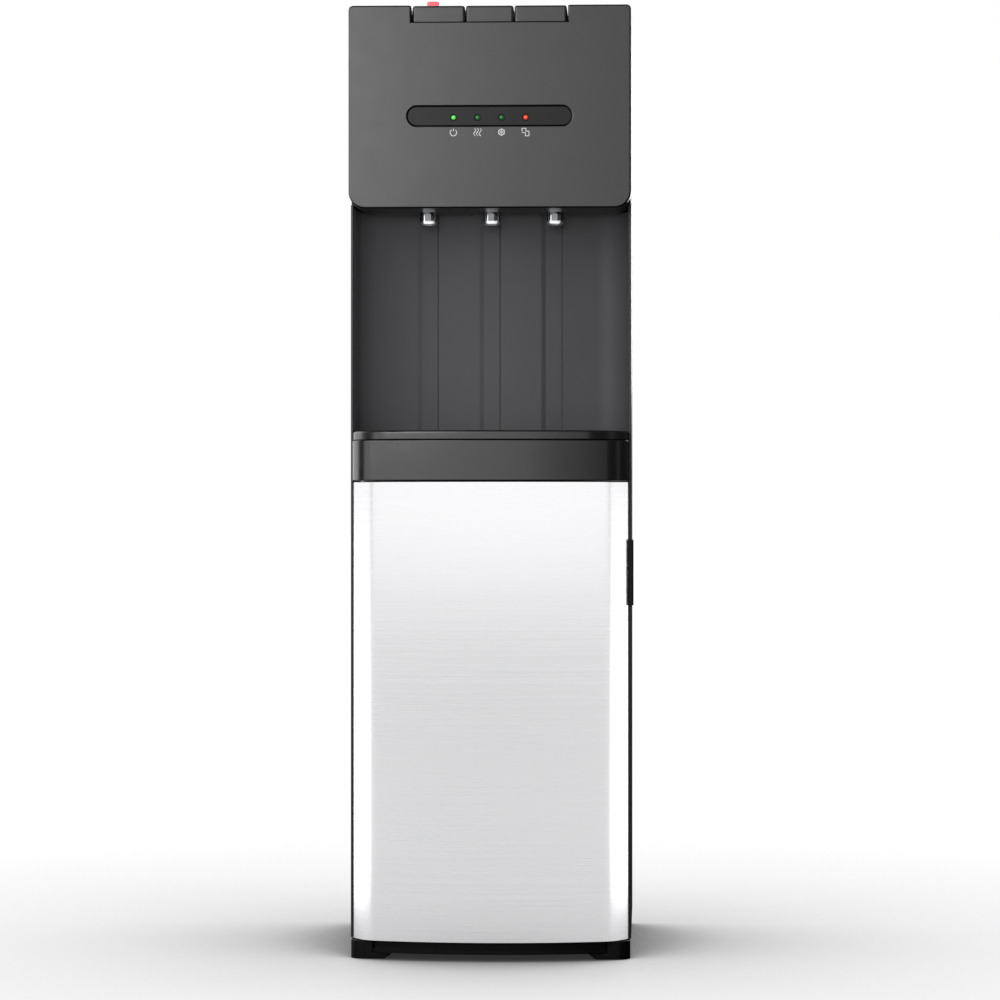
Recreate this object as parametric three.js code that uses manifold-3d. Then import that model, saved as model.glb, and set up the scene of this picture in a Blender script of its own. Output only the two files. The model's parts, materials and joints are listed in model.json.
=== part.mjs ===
// Floor-standing, bottom-loading water dispenser with three taps.
// Millimetres. +X is the right side, +Y is the back, +Z is up.
// The origin is on the floor, under the middle of the cabinet.
import * as THREE from 'three';
import Module from 'manifold-3d';
import { mergeVertices } from 'three/addons/utils/BufferGeometryUtils.js';

const wasm = await Module();
wasm.setup();

// ---- driving dimensions ----
const HALF_WIDTH = 154;
const BACK = 180;
const DOOR_FRONT = -180;
const FASCIA_FRONT = -164;
const HEAD_TOP = 1040;
const HEAD_BOTTOM = 821.8;
const CABINET_BACK = 169.2;
const SIDE_FRONT = -134;
const SIDE_TOP = 1027.6;
const HEAD_JOINT = -88.3;
const ALCOVE_BOTTOM = 577.3;
const ALCOVE_BACK = -27;
const DECK_TOP = 526;
const TANK_SHELF_TOP = 755;
const TAP_SPACING = 70;
const TAP_Y = -109;
const TAP_BOTTOM = 807;
const GAP = 0.4;
const SHEET = 0.8;

// door
const DOOR_BOTTOM = 21;
const DOOR_TOP = 521;
const DOOR_REAR = -137.5;
const DOOR_BOW = 487.5;
const DOOR_CORNER = 40;
const DOOR_HALF = 152.5;
const SKIN = 1.5;
const HINGE = [-139, -142];
const PIN_RADIUS = 3;

// buttons
const BUTTON_FRONT = -160.8;
const BUTTON_REAR = -86;
const BUTTON_BOTTOM = 1012;
const AXLE = [-92, 1031.5];
const AXLE_RADIUS = 2.1;
const LOCK_X = -62.4;
const NOTCH_HALF = 85.5;
const CHEEK_BACK = -99;

const TAPS = [['hot', -TAP_SPACING], ['room', 0], ['cold', TAP_SPACING]];
const BUTTON_SPANS = { hot: [-84, -28], room: [-25, 25], cold: [28, 84] };
const LAMPS = [
  ['led_power', -39.3, 0x35e04a],
  ['led_heating', -13.1, 0x1d6b2c],
  ['led_cooling', 13.1, 0x1d6b2c],
  ['led_bottle_empty', 39.3, 0xff3a1e],
];
const LAMP_Z = 917.7;

// ---- materials ----
function material(color, roughness = 0.5, metalness = 0) {
  return new THREE.MeshStandardMaterial({ color, roughness, metalness });
}
const CHARCOAL = 0x46474a;
const BLACK = 0x141416;
const STEEL = 0xc9cacc;

// ---- solids ----
function solid(geometry) {
  const bare = geometry.clone();
  bare.deleteAttribute('normal');
  bare.deleteAttribute('uv');
  const merged = mergeVertices(bare, 1e-4);
  const mesh = new wasm.Mesh({
    numProp: 3,
    vertProperties: Float32Array.from(merged.attributes.position.array),
    triVerts: Uint32Array.from(merged.index.array),
  });
  return new wasm.Manifold(mesh);
}

function geometryOf(body) {
  const mesh = body.getMesh();
  const geometry = new THREE.BufferGeometry();
  geometry.setAttribute('position', new THREE.BufferAttribute(mesh.vertProperties, 3));
  geometry.setIndex(new THREE.BufferAttribute(mesh.triVerts, 1));
  geometry.computeVertexNormals();
  return geometry;
}

function block(x0, x1, y0, y1, z0, z1) {
  const box = new THREE.BoxGeometry(x1 - x0, y1 - y0, z1 - z0);
  box.translate((x0 + x1) / 2, (y0 + y1) / 2, (z0 + z1) / 2);
  return solid(box);
}

// An outline in plan, drawn upwards from z0 to z1.
function upright(shape, z0, z1) {
  const geometry = new THREE.ExtrudeGeometry(shape, { depth: z1 - z0, bevelEnabled: false });
  geometry.translate(0, 0, z0);
  return solid(geometry);
}

// An outline seen from the front (x, z), drawn from y0 back to y1.
function fromFront(shape, y0, y1) {
  const geometry = new THREE.ExtrudeGeometry(shape, { depth: y1 - y0, bevelEnabled: false });
  geometry.rotateX(Math.PI / 2);
  geometry.translate(0, y1, 0);
  return solid(geometry);
}

// An outline seen from the right side (y, z), drawn from x0 to x1.
function fromSide(points, x0, x1) {
  const shape = new THREE.Shape(points.map(([y, z]) => new THREE.Vector2(y, z)));
  const geometry = new THREE.ExtrudeGeometry(shape, { depth: x1 - x0, bevelEnabled: false });
  geometry.rotateX(Math.PI / 2);
  geometry.rotateZ(Math.PI / 2);
  geometry.translate(x0, 0, 0);
  return solid(geometry);
}

// A turned body about a vertical axis: pairs of radius and height.
function turned(points, x, y, sides = 20) {
  const profile = points.map(([radius, z]) => new THREE.Vector2(radius, z));
  const geometry = new THREE.LatheGeometry(profile, sides);
  geometry.rotateX(Math.PI / 2);
  geometry.translate(x, y, 0);
  return solid(geometry);
}

function rod(radius, from, to, sides = 16) {
  const start = new THREE.Vector3(...from);
  const along = new THREE.Vector3(...to).sub(start);
  const geometry = new THREE.CylinderGeometry(radius, radius, along.length(), sides);
  geometry.translate(0, along.length() / 2, 0);
  const up = new THREE.Vector3(0, 1, 0);
  const turn = new THREE.Quaternion().setFromUnitVectors(up, along.normalize());
  geometry.applyQuaternion(turn);
  geometry.translate(...from);
  return solid(geometry);
}

// A tube through hand-picked points, with rounded corners.
function tube(points, radius, steps, sides = 6) {
  const route = new THREE.CatmullRomCurve3(
    points.map((p) => new THREE.Vector3(...p)), false, 'centripetal');
  const section = new THREE.Shape();
  for (let i = 0; i < sides; i += 1) {
    const angle = (2 * Math.PI * i) / sides;
    const x = radius * Math.cos(angle);
    const y = radius * Math.sin(angle);
    if (i === 0) section.moveTo(x, y);
    else section.lineTo(x, y);
  }
  return solid(new THREE.ExtrudeGeometry(section, { steps, extrudePath: route, bevelEnabled: false }));
}

function roundedRect(x0, x1, z0, z1, low, high) {
  const shape = new THREE.Shape();
  shape.absarc(x1 - low, z0 + low, low, -Math.PI / 2, 0, false);
  shape.absarc(x1 - high, z1 - high, high, 0, Math.PI / 2, false);
  shape.absarc(x0 + high, z1 - high, high, Math.PI / 2, Math.PI, false);
  shape.absarc(x0 + low, z0 + low, low, Math.PI, 1.5 * Math.PI, false);
  return sampled(shape, 5);
}

function sampled(shape, divisions) {
  return new THREE.Shape(shape.getPoints(divisions));
}

// Plan outline with a bowed front: a large arc, a corner arc each side, then straight sides.
function bowed(half, front, bow, corner, back, bowSteps = 10, cornerSteps = 5) {
  const reach = bow - corner;
  const cornerX = half - corner;
  const cornerY = front + bow - Math.sqrt(reach * reach - cornerX * cornerX);
  const meet = Math.asin(cornerX / reach);
  const points = [];
  for (let i = 0; i <= bowSteps; i += 1) {
    const angle = meet * ((2 * i) / bowSteps - 1);
    points.push([bow * Math.sin(angle), front + bow - bow * Math.cos(angle)]);
  }
  for (let i = 1; i <= cornerSteps; i += 1) {
    const angle = meet + ((Math.PI / 2 - meet) * i) / cornerSteps;
    const x = cornerX + corner * Math.sin(angle);
    const y = cornerY - corner * Math.cos(angle);
    points.push([x, y]);
    points.unshift([-x, y]);
  }
  points.push([half, back]);
  points.unshift([-half, back]);
  return new THREE.Shape(points.map(([x, y]) => new THREE.Vector2(x, y)));
}

function cut(body, ...tools) {
  return tools.reduce((rest, tool) => rest.subtract(tool), body);
}

function join(body, ...others) {
  return others.reduce((whole, other) => whole.add(other), body);
}

const product = new THREE.Group();
function add(name, body, look) {
  const mesh = new THREE.Mesh(geometryOf(body), look);
  mesh.name = name;
  product.add(mesh);
}

// ---- base and feet ----
function base() {
  const top = 20.3;
  const body = upright(bowed(150.8, -168, DOOR_BOW, 36, 167), 7, top);
  const lip = upright(bowed(150.8, -171, DOOR_BOW, 36, -120), 7, 11.6);
  const hollow = block(-104, 104, -148, 150, 6, 16);
  const corners = [];
  for (const x of [-160, 127.6]) {
    corners.push(block(x, x + 32.4, -200, -127.6, 6, 30));
    corners.push(block(x, x + 32.4, 141.6, 200, 6, 30));
  }
  const platform = turned([[0, 19], [129, 19], [129, 22], [0, 22]], 0, 0, 32);
  return cut(join(body, lip, platform), hollow, ...corners);
}

// Each foot is a pad under the base with a post that fills the corner of the base.
// The post at the front left also holds the door's lower hinge pin.
function foot(right, front) {
  const outline = new THREE.Shape();
  outline.absarc(153 - 14, -154 + 14, 14, -Math.PI / 2, 0, false);
  outline.lineTo(153, -106);
  outline.lineTo(104, -106);
  outline.lineTo(104, -154);
  const plan = upright(sampled(outline, 6), 0, 6.7);
  const wedge = new THREE.Shape([
    new THREE.Vector2(116, 0),
    new THREE.Vector2(153.2, 0),
    new THREE.Vector2(153.2, 6.7),
    new THREE.Vector2(106, 6.7),
    new THREE.Vector2(108.5, 5.2),
  ]);
  const pad = plan.intersect(fromFront(wedge, -160, -100));
  const post = upright(sampled(outline, 6), 0, 20.3).intersect(block(128, 160, -160, -128, 3, 21));
  const whole = join(pad, post);
  const mirrored = right ? whole : whole.mirror([1, 0, 0]);
  if (!front) return mirrored.mirror([0, 1, 0]).translate([0, 14, 0]);
  return right ? mirrored : cut(mirrored, rod(PIN_RADIUS + GAP, [...HINGE, 12], [...HINGE, 30]));
}

// ---- sheet steel cabinet ----
// Each side panel has a folded hem along its front edge and steps back beside the head.
function sidePanel(side) {
  const inner = HALF_WIDTH - SHEET;
  const sheet = block(inner, HALF_WIDTH, SIDE_FRONT, CABINET_BACK + 2, 21, SIDE_TOP);
  const hem = block(HALF_WIDTH - 2.5, inner + 0.1, SIDE_FRONT, SIDE_FRONT + 8, 21, SIDE_TOP);
  const step = block(140, 160, SIDE_FRONT - 1, HEAD_JOINT, 825.5, SIDE_TOP + 1);
  const right = cut(join(sheet, hem), step);
  return side > 0 ? right : right.mirror([1, 0, 0]);
}

const SWITCH = [104, 960];
const INLET = [100, 610];
const DRAIN = [-100, 560];
const COLD = [66, 84];
const HOT = [-84, 84];
const LINE_HOLE = [60, 700];

function rearPanel() {
  const half = HALF_WIDTH - SHEET - GAP;
  const sheet = block(-half, half, CABINET_BACK - SHEET, CABINET_BACK, 21, SIDE_TOP);
  const openings = [
    block(SWITCH[0] - 19, SWITCH[0] + 19, 160, 175, SWITCH[1] - 12, SWITCH[1] + 12),
    block(INLET[0] - 15, INLET[0] + 15, 160, 175, INLET[1] - 12, INLET[1] + 12),
    rod(10, [DRAIN[0], 160, DRAIN[1]], [DRAIN[0], 175, DRAIN[1]]),
    rod(5, [LINE_HOLE[0], 160, LINE_HOLE[1]], [LINE_HOLE[0], 175, LINE_HOLE[1]]),
  ];
  return cut(sheet, ...openings);
}

const PROBE = [118, 137];

// Steel deck over the bottle compartment. A hook under it holds the suction probe.
function midDeck() {
  const half = HALF_WIDTH - SHEET - GAP;
  const plate = block(-half, half, ALCOVE_BACK, CABINET_BACK - SHEET - GAP, DECK_TOP - 1.5, DECK_TOP);
  const hose = rod(8, [...PROBE, 520], [...PROBE, 530]);
  const hook = join(
    block(144, 146, 127, 147, 480.5, DECK_TOP - 1),
    block(108, 145, 127, 147, 480.5, 483),
  );
  const seat = cut(hook, block(100, 124.4, 131.2, 142.8, 479, 484));
  return join(cut(plate, hose), seat);
}

function tankShelf() {
  const half = HALF_WIDTH - SHEET - GAP;
  const top = TANK_SHELF_TOP;
  const back = CABINET_BACK - SHEET - GAP;
  const plate = block(-half, half, ALCOVE_BACK + 6, back, top - 1.5, top);
  const flanges = [];
  for (const side of [-1, 1]) {
    const x = side * (half - 0.75);
    flanges.push(block(x - 0.75, x + 0.75, ALCOVE_BACK + 6, back, top - 22, top - 1));
  }
  const pipes = block(30, 90, 156, back + 1, top - 5, top + 5);
  const hoses = block(-34, -14, 20, 60, top - 5, top + 5);
  const drain = rod(6, [...HOT, top - 5], [...HOT, top + 5], 12);
  return cut(join(plate, ...flanges), pipes, hoses, drain);
}

// ---- dispensing bay ----
const TRAY_Y = [-149, -46];

function trayShelf() {
  const body = upright(bowed(151, -178.4, 620, 24, ALCOVE_BACK - 0.6), 522.2, 566.3);
  const well = block(-128, 128, TRAY_Y[0] - 2, TRAY_Y[1] + 2, 529, 570);
  const underside = block(-104, 104, -166.5, TRAY_Y[0] - 5, 520, 560);
  const pin = rod(PIN_RADIUS + GAP, [...HINGE, 515], [...HINGE, 534.4]);
  return cut(body, well, underside, pin);
}

// The wall of the bay has a shallow channel behind each tap: sloped on the left, stepped on the right.
function alcoveLiner() {
  const outer = 152.3;
  const cheek = 1.3;
  const wall = 2.5;
  const front = -125.6;
  const face = [];
  for (const [, x] of TAPS) {
    face.push([x - 10.5, ALCOVE_BACK], [x - 6.5, ALCOVE_BACK + 3]);
    face.push([x + 10.1, ALCOVE_BACK + 3], [x + 10.5, ALCOVE_BACK]);
  }
  const inside = [[-outer + cheek, front], [-outer + cheek, ALCOVE_BACK], ...face];
  inside.push([outer - cheek, ALCOVE_BACK], [outer - cheek, front]);
  const outside = [[outer, front], [outer, ALCOVE_BACK + wall]];
  for (const [x, y] of [...face].reverse()) outside.push([x, y + wall]);
  outside.push([-outer, ALCOVE_BACK + wall], [-outer, front]);
  const plan = [...inside, ...outside].map(([x, y]) => new THREE.Vector2(x, y));
  return upright(new THREE.Shape(plan), ALCOVE_BOTTOM, 824);
}

// The removable tray: its rim is the front lip of the bay, and the grille sits in its seat.
function dripTray() {
  const [front, back] = TRAY_Y;
  const rim = upright(bowed(150.5, DOOR_FRONT, 700, 56, ALCOVE_BACK - 1.2, 10, 6), 566.8, 576.8);
  const half = 124.9;
  const basin = block(-half - 2, half + 2, front, back, 531, 567.5);
  const cavity = block(-half, half, front + 2.5, back - 2.5, 533.5, 580);
  const seat = block(-half, half, front + 1, back - 1, 572, 580);
  return cut(join(rim, basin), cavity, seat);
}

function dripGrille() {
  const [front, back] = TRAY_Y;
  const plate = block(-124.5, 124.5, front + 1.5, back - 1.5, 572.4, 576.2);
  const slots = [];
  const columns = 4;
  const rows = 7;
  const pitchX = 58;
  const pitchY = 12.6;
  for (let i = 0; i < columns; i += 1) {
    for (let j = 0; j < rows; j += 1) {
      const x = (i - (columns - 1) / 2) * pitchX;
      const y = (front + back) / 2 + (j - (rows - 1) / 2) * pitchY;
      slots.push(block(x - 24, x + 24, y - 3, y + 3, 570, 580));
    }
  }
  return cut(plate, ...slots);
}

// ---- head ----
const STRIP = [-89.5, 89.5, 908.8, 929.7];

function pill([x0, x1, z0, z1], grow) {
  const radius = (z1 - z0) / 2 + grow;
  return roundedRect(x0 - grow, x1 + grow, z0 - grow, z1 + grow, radius, radius);
}

// Front moulding of the head, with a cheek on each side of the notch that the buttons lie in.
function fascia() {
  const wall = 2.7;
  const back = FASCIA_FRONT + 30;
  const outer = roundedRect(-HALF_WIDTH, HALF_WIDTH, HEAD_BOTTOM, HEAD_TOP, 18, 5);
  const inner = roundedRect(-HALF_WIDTH + wall, HALF_WIDTH - wall, HEAD_BOTTOM + wall,
    HEAD_TOP - wall, 15.3, 2.3);
  const pan = cut(fromFront(outer, FASCIA_FRONT, back),
    fromFront(inner, FASCIA_FRONT + wall, back + 1));
  const notch = block(-NOTCH_HALF, NOTCH_HALF, FASCIA_FRONT - 1, back + 1, 1022.3, HEAD_TOP + 1);
  const cheeks = [-NOTCH_HALF - 1.2, NOTCH_HALF]
    .map((x) => block(x, x + 1.2, FASCIA_FRONT + 1, CHEEK_BACK, 1020, HEAD_TOP - 0.4));
  const slot = fromFront(pill(STRIP, 0), FASCIA_FRONT - 1, FASCIA_FRONT + wall + 1);
  return cut(join(cut(pan, notch), ...cheeks), slot);
}

function indicatorWindow() {
  const front = FASCIA_FRONT + 1.2;
  const lens = fromFront(pill(STRIP, -0.35), front, -159.6);
  const flange = fromFront(pill(STRIP, 3), -161, -158.6);
  const holes = LAMPS.map(([, x]) => rod(3, [x, -170, LAMP_Z], [x, -150, LAMP_Z]));
  return cut(join(lens, flange), ...holes);
}

function lamp(x) {
  const points = [[0, -9.5], [3.4, -9.5], [3.4, -8], [2.5, -8], [2.5, -2.4], [2.1, -1.1], [1.2, -0.25], [0, 0]];
  const profile = points.map(([radius, y]) => new THREE.Vector2(radius, y));
  const geometry = new THREE.LatheGeometry(profile, 12);
  geometry.rotateX(Math.PI);
  geometry.translate(x, FASCIA_FRONT + 0.2, LAMP_Z);
  return solid(geometry).trimByPlane([0, -1, 0], 154.2);
}

function indicatorBoard() {
  return block(-62, 62, -153.9, -152.3, LAMP_Z - 12, LAMP_Z + 12);
}

// Trough that closes the head from below and carries the taps, the button axle and its shelf.
function headShell() {
  const front = -133.6;
  const back = ALCOVE_BACK - 0.6;
  const half = 153.2;
  const outer = roundedRect(-half, half, 824.6, 1100, 16, 1);
  const inner = roundedRect(-half + 2.5, half - 2.5, 827.4, 1110, 13.5, 1);
  const trough = cut(fromFront(outer, front, back), fromFront(inner, front - 1, back + 1));
  const low = trough.trimByPlane([0, 0, -1], -SIDE_TOP - 0.2);
  const beside = [-1, 1].map((side) => {
    const x = side * 160;
    return block(Math.min(x, side * 150.2), Math.max(x, side * 150.2), HEAD_JOINT - 0.4, 0, 820, 1100);
  });
  const shelf = block(-151.5, 151.5, -133.2, HEAD_JOINT - 0.6, 1005, 1008);
  const ears = [-88.4, -27.6, 25.6, 86.4]
    .map((x) => block(x, x + 2, -98, HEAD_JOINT - 0.8, 1007, 1035.5));
  const bores = [rod(AXLE_RADIUS + GAP, [-100, ...AXLE], [100, ...AXLE])];
  for (const [, x] of TAPS) {
    bores.push(rod(12.4, [x, TAP_Y, 820], [x, TAP_Y, 832], 20));
    bores.push(rod(3.6, [x, TAP_Y, 1000], [x, TAP_Y, 1010], 12));
  }
  return cut(join(cut(low, ...beside), shelf, ...ears), ...bores);
}

function topCover() {
  const front = -133.5;
  const back = CABINET_BACK + 2;
  const shell = block(-153.4, 153.4, front, back, SIDE_TOP + 0.5, HEAD_TOP - 0.3);
  const inside = block(-150.9, 150.9, front - 1, back - 2.5, SIDE_TOP - 1, HEAD_TOP - 2.8);
  const edge = NOTCH_HALF + 1.7;
  const notch = block(-edge, edge, front - 1, BUTTON_REAR + 1.2, SIDE_TOP - 1, HEAD_TOP + 1);
  return cut(shell, inside, notch);
}

// ---- taps and buttons ----
// A chrome spout below the head, and the valve body that it screws to above the floor of the head.
function tap(x) {
  const z = TAP_BOTTOM;
  const points = [
    [0, z + 40], [5.5, z + 40], [5.5, z], [8, z], [9, z + 3.2], [10, z + 4.2],
    [10, z + 17], [12, z + 17.5], [12, z + 24], [14.5, z + 24], [14.5, z + 29], [11, z + 29],
    [11, z + 62], [6, z + 66], [0, z + 66],
  ];
  const nipple = rod(4, [x, TAP_Y + 8, z + 50], [x, TAP_Y + 24, z + 50], 12);
  const body = turned(points, x, TAP_Y, 20);
  return join(body, nipple);
}

function pushRod(x) {
  return join(
    rod(2.6, [x, TAP_Y, TAP_BOTTOM + 69.5], [x, TAP_Y, 1036.3], 10),
    rod(5, [x, TAP_Y, TAP_BOTTOM + 69.5], [x, TAP_Y, TAP_BOTTOM + 73], 10),
  );
}

function button(name) {
  const [x0, x1] = BUTTON_SPANS[name];
  const plate = fromSide([
    [BUTTON_FRONT, BUTTON_BOTTOM], [BUTTON_FRONT + 3, BUTTON_BOTTOM], [BUTTON_FRONT + 3, HEAD_TOP - 3],
    [-97.5, HEAD_TOP - 3], [-97.5, 1026.5], [BUTTON_REAR - 1, 1026.5], [BUTTON_REAR, 1029],
    [BUTTON_REAR, HEAD_TOP], [BUTTON_FRONT, HEAD_TOP],
  ], x0, x1);
  const top = HEAD_TOP - 2;
  const skirt = [[BUTTON_FRONT + 2, 1024], [-97, 1026.6], [-97, top], [BUTTON_FRONT + 2, top]];
  const skirts = [x0, x1 - 2].map((x) => fromSide(skirt, x, x + 2));
  const bore = rod(AXLE_RADIUS + GAP, [x0 - 5, ...AXLE], [x1 + 5, ...AXLE], 16);
  const body = cut(join(plate, ...skirts), bore);
  if (name !== 'hot') return body;
  return cut(body, block(LOCK_X - 3.2, LOCK_X + 3.2, -147.5, -131, 1030, HEAD_TOP + 1));
}

function childLock() {
  return join(
    block(LOCK_X - 6.6, LOCK_X + 6.6, -151, -139, HEAD_TOP + GAP, HEAD_TOP + 5),
    block(LOCK_X - 2.6, LOCK_X + 2.6, -146.8, -141.2, HEAD_TOP - 5.6, HEAD_TOP + 1),
    block(LOCK_X - 5.5, LOCK_X + 5.5, -148.5, -139.5, HEAD_TOP - 5.6, HEAD_TOP - 3.4),
  );
}

// Coil spring between the shelf and the underside of a button.
function buttonSpring(x) {
  const turns = 4;
  const low = 1009;
  const high = 1036;
  const points = [];
  const perTurn = 7;
  for (let i = 0; i <= turns * perTurn; i += 1) {
    const angle = (2 * Math.PI * i) / perTurn;
    const z = low + ((high - low) * i) / (turns * perTurn);
    points.push([x + 4.5 * Math.cos(angle), -124 + 4.5 * Math.sin(angle), z]);
  }
  return tube(points, 0.5, turns * perTurn, 5);
}

// ---- inside ----
function coldTank() {
  const [x, y] = COLD;
  const z = TANK_SHELF_TOP + GAP;
  const shell = turned([[0, z], [66, z], [70, z + 6], [70, z + 180], [62, z + 190], [0, z + 190]], x, y, 24);
  const neck = rod(12, [x, y, z + 188], [x, y, z + 202], 12);
  const outlet = rod(4, [x, y - 62, z + 40], [x, y - 84, z + 40], 12);
  const inlet = rod(4, [x - 40, y, z + 188], [x - 40, y, z + 206], 12);
  return join(shell, neck, outlet, inlet);
}

// Thin steel shell that is open through its outlet.
function hotTank() {
  const [x, y] = HOT;
  const z = TANK_SHELF_TOP + GAP;
  return turned([
    [0, z], [44, z], [48, z + 8], [48, z + 142], [40, z + 152], [4, z + 152], [4, z + 166],
    [2.4, z + 166], [2.4, z + 150.8], [39.5, z + 150.8], [46.8, z + 141.6], [46.8, z + 8.4],
    [43.6, z + 1.2], [0, z + 1.2],
  ], x, y, 20);
}

function compressor() {
  const [x, y] = [64, 92];
  const z = DECK_TOP + GAP;
  const foot = block(x - 58, x + 58, y - 38, y + 38, z, z + 2);
  const can = turned([
    [0, z + 1], [36, z + 1], [48, z + 14], [49, z + 58], [51, z + 60], [51, z + 66], [48.5, z + 69],
    [46, z + 98], [34, z + 113], [12, z + 120], [0, z + 120],
  ], x, y, 20);
  const cover = block(x + 43, x + 68, y - 24, y + 24, z + 38, z + 88);
  return join(foot, can, cover);
}

// Serpentine tube on flat straps behind the cabinet. Its tail goes in to the compressor.
function condenser() {
  const y = 175.6;
  const reach = 108;
  const rows = 9;
  const pitch = 34;
  const bottom = 640;
  const [holeX, holeZ] = LINE_HOLE;
  const points = [[holeX, 120, holeZ], [holeX, 160, holeZ], [holeX, y - 0.4, holeZ - 3]];
  points.push([holeX + 3, y, bottom + 26], [holeX + 22, y, bottom + 4], [reach - 14, y, bottom]);
  for (let row = 0; row < rows; row += 1) {
    const side = row % 2 === 0 ? 1 : -1;
    const z = bottom + pitch * row;
    points.push([side * reach, y, z]);
    if (row < rows - 1) points.push([side * (reach + 15), y, z + pitch / 2], [side * reach, y, z + pitch]);
    else points.push([side * (reach + 8), y, z]);
  }
  const straps = [-90, -30, 30, 90].map((x) => block(x - 5, x + 5, 177.2, 178.8, 628, bottom + pitch * 8 + 14));
  return join(tube(points, 2.4, 118, 5), ...straps);
}

function waterPump() {
  const z = DECK_TOP + GAP;
  return join(
    block(-40, 0, 30, 80, z, z + 30),
    rod(17, [-20, 55, z + 29], [-20, 55, z + 74], 16),
    rod(4, [-20, 74, z + 12], [-20, 94, z + 12], 12),
    rod(4, [-20, 44, z + 20], [-20, 18, z + 20], 12),
  );
}

function controlBox() {
  const z = DECK_TOP + GAP;
  return join(block(-146, -60, 50, 130, z, z + 112), block(-150, -56, 84, 96, z, z + 4));
}

// Stainless suction tube with the cap that closes the bottle's neck.
function suctionProbe() {
  const [x, y] = PROBE;
  return turned([
    [0, 62], [5, 62], [5, 484], [22, 484], [24, 486], [24, 500], [20, 504], [7, 504], [6, 512], [0, 512],
  ], x, y, 20);
}

const HOSE = 5;

function riserHose() {
  const z = DECK_TOP + GAP + 12;
  return tube([[...PROBE, 512.5], [...PROBE, 527], [114, 142, 540], [100, 156, 546], [64, 160, 546],
    [20, 158, 546], [-8, 142, 543], [-20, 118, z], [-20, 94.6, z]], HOSE, 34);
}

function feedHose() {
  const z = DECK_TOP + GAP + 20;
  return tube([[-20, 17.4, z], [-20, 8, z], [-21, -4, z + 10], [-23, -6, z + 34],
    [-24, 14, 650], [-24, 38, 730], [-24, 40, 800], [-20, 46, 950], [0, 74, 988],
    [20, 84, 984], [26, 84, 974], [26, 84, 962.2]], HOSE, 56);
}

function coldHose() {
  const z = TAP_BOTTOM + 50;
  return tube([[70, TAP_Y + 24.6, z], [70, -74, z], [69, -52, 845], [68, -36, 835],
    [67, -22, 831], [66, -11, 817], [66, -9, 802], [66, -5, 796], [66, -0.6, 795.6]], HOSE - 0.8, 26);
}

function roomHose() {
  const z = TAP_BOTTOM + 50;
  return tube([[0, TAP_Y + 24.6, z], [0, -70, z], [2, -40, 870], [30, -14, 920], [58, 20, 966],
    [66, 50, 984], [66, 72, 984], [66, 84, 974], [66, 84, 958]], HOSE - 0.8, 34);
}

function hotHose() {
  const z = TAP_BOTTOM + 50;
  return tube([[-70, TAP_Y + 24.6, z], [-70, -70, z], [-72, -40, 880], [-78, 0, 930], [-82, 50, 956],
    [-84, 76, 952], [-84, 84, 938], [-84, 84, 922]], HOSE - 0.8, 30);
}

// ---- rear fittings ----
function powerInlet() {
  const [x, z] = INLET;
  const body = block(x - 14.5, x + 14.5, 150, 170, z - 11.5, z + 11.5);
  const flange = block(x - 19, x + 19, CABINET_BACK + 0.4, 172.4, z - 15, z + 15);
  const socket = block(x - 12, x + 12, 156, 175, z - 8.5, z + 8.5);
  const pins = [-7, 0, 7].map((dx) => block(x + dx - 1, x + dx + 1, 155, 168, z - 2.5, z + 2.5));
  return join(cut(join(body, flange), socket), ...pins);
}

function switchBlock() {
  const [x, z] = SWITCH;
  const body = block(x - 18.5, x + 18.5, 152, 171.4, z - 11.5, z + 11.5);
  const flange = block(x - 22, x + 22, CABINET_BACK + 0.4, 171.4, z - 15, z + 15);
  const wells = [-9, 9].map((dx) => block(x + dx - 7, x + dx + 7, 158, 175, z - 10, z + 10));
  return cut(join(body, flange), ...wells);
}

// A rocker with its upper half pressed in; it turns about its middle.
function rocker(dx) {
  const [x, z] = SWITCH;
  const tilt = THREE.MathUtils.degToRad(9);
  const outline = [
    [-2.6, -3.6], [-1.4, 0], [-2.6, 3.6], [1.5, 8.6], [3.6, 8.6], [2.9, 0], [3.6, -8.6], [1.5, -8.6],
  ];
  const turnedPoints = outline.map(([y, h]) => [
    168.2 + y * Math.cos(tilt) - h * Math.sin(tilt),
    z + y * Math.sin(tilt) + h * Math.cos(tilt),
  ]);
  return fromSide(turnedPoints.reverse(), x + dx - 6.3, x + dx + 6.3);
}

// Threaded spout at the back, fed by a pipe from the bottom of the hot tank.
function drainSpout() {
  const [x, z] = DRAIN;
  const outer = join(
    rod(8, [x, 148, z], [x, 173, z], 16),
    rod(13, [x, 165.2, z], [x, 167.6, z], 16),
  );
  const bored = cut(outer, rod(5, [x, 156, z], [x, 174, z], 12));
  const pipe = tube([[x, 152, z], [x, 144, z + 1], [x, 140, z + 16], [x, 138, 665], [-92, 108, 718],
    [...HOT, 742], [...HOT, TANK_SHELF_TOP]], 4.5, 22);
  return join(bored, pipe);
}

function drainCap() {
  const [x, z] = DRAIN;
  return cut(rod(10.5, [x, 169.8, z], [x, BACK, z], 16), rod(8.7, [x, 169, z], [x, 175, z], 16));
}

// ---- door ----
const HANDLE_Z = [386, 458];

function handleSlot(grow) {
  const [low, high] = HANDLE_Z;
  return block(128 - grow, 170, DOOR_REAR - 3 - grow, DOOR_REAR + 5, low - grow, high + grow);
}

function doorSkin() {
  const outer = upright(bowed(DOOR_HALF, DOOR_FRONT, DOOR_BOW, DOOR_CORNER, DOOR_REAR + 20, 14, 7),
    DOOR_BOTTOM, DOOR_TOP);
  const inner = upright(bowed(DOOR_HALF - SKIN, DOOR_FRONT + SKIN, DOOR_BOW - SKIN,
    DOOR_CORNER - SKIN, DOOR_REAR + 30, 14, 7), DOOR_BOTTOM - 1, DOOR_TOP + 1);
  return cut(cut(outer, inner).trimByPlane([0, -1, 0], -DOOR_REAR), handleSlot(0.3));
}

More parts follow.
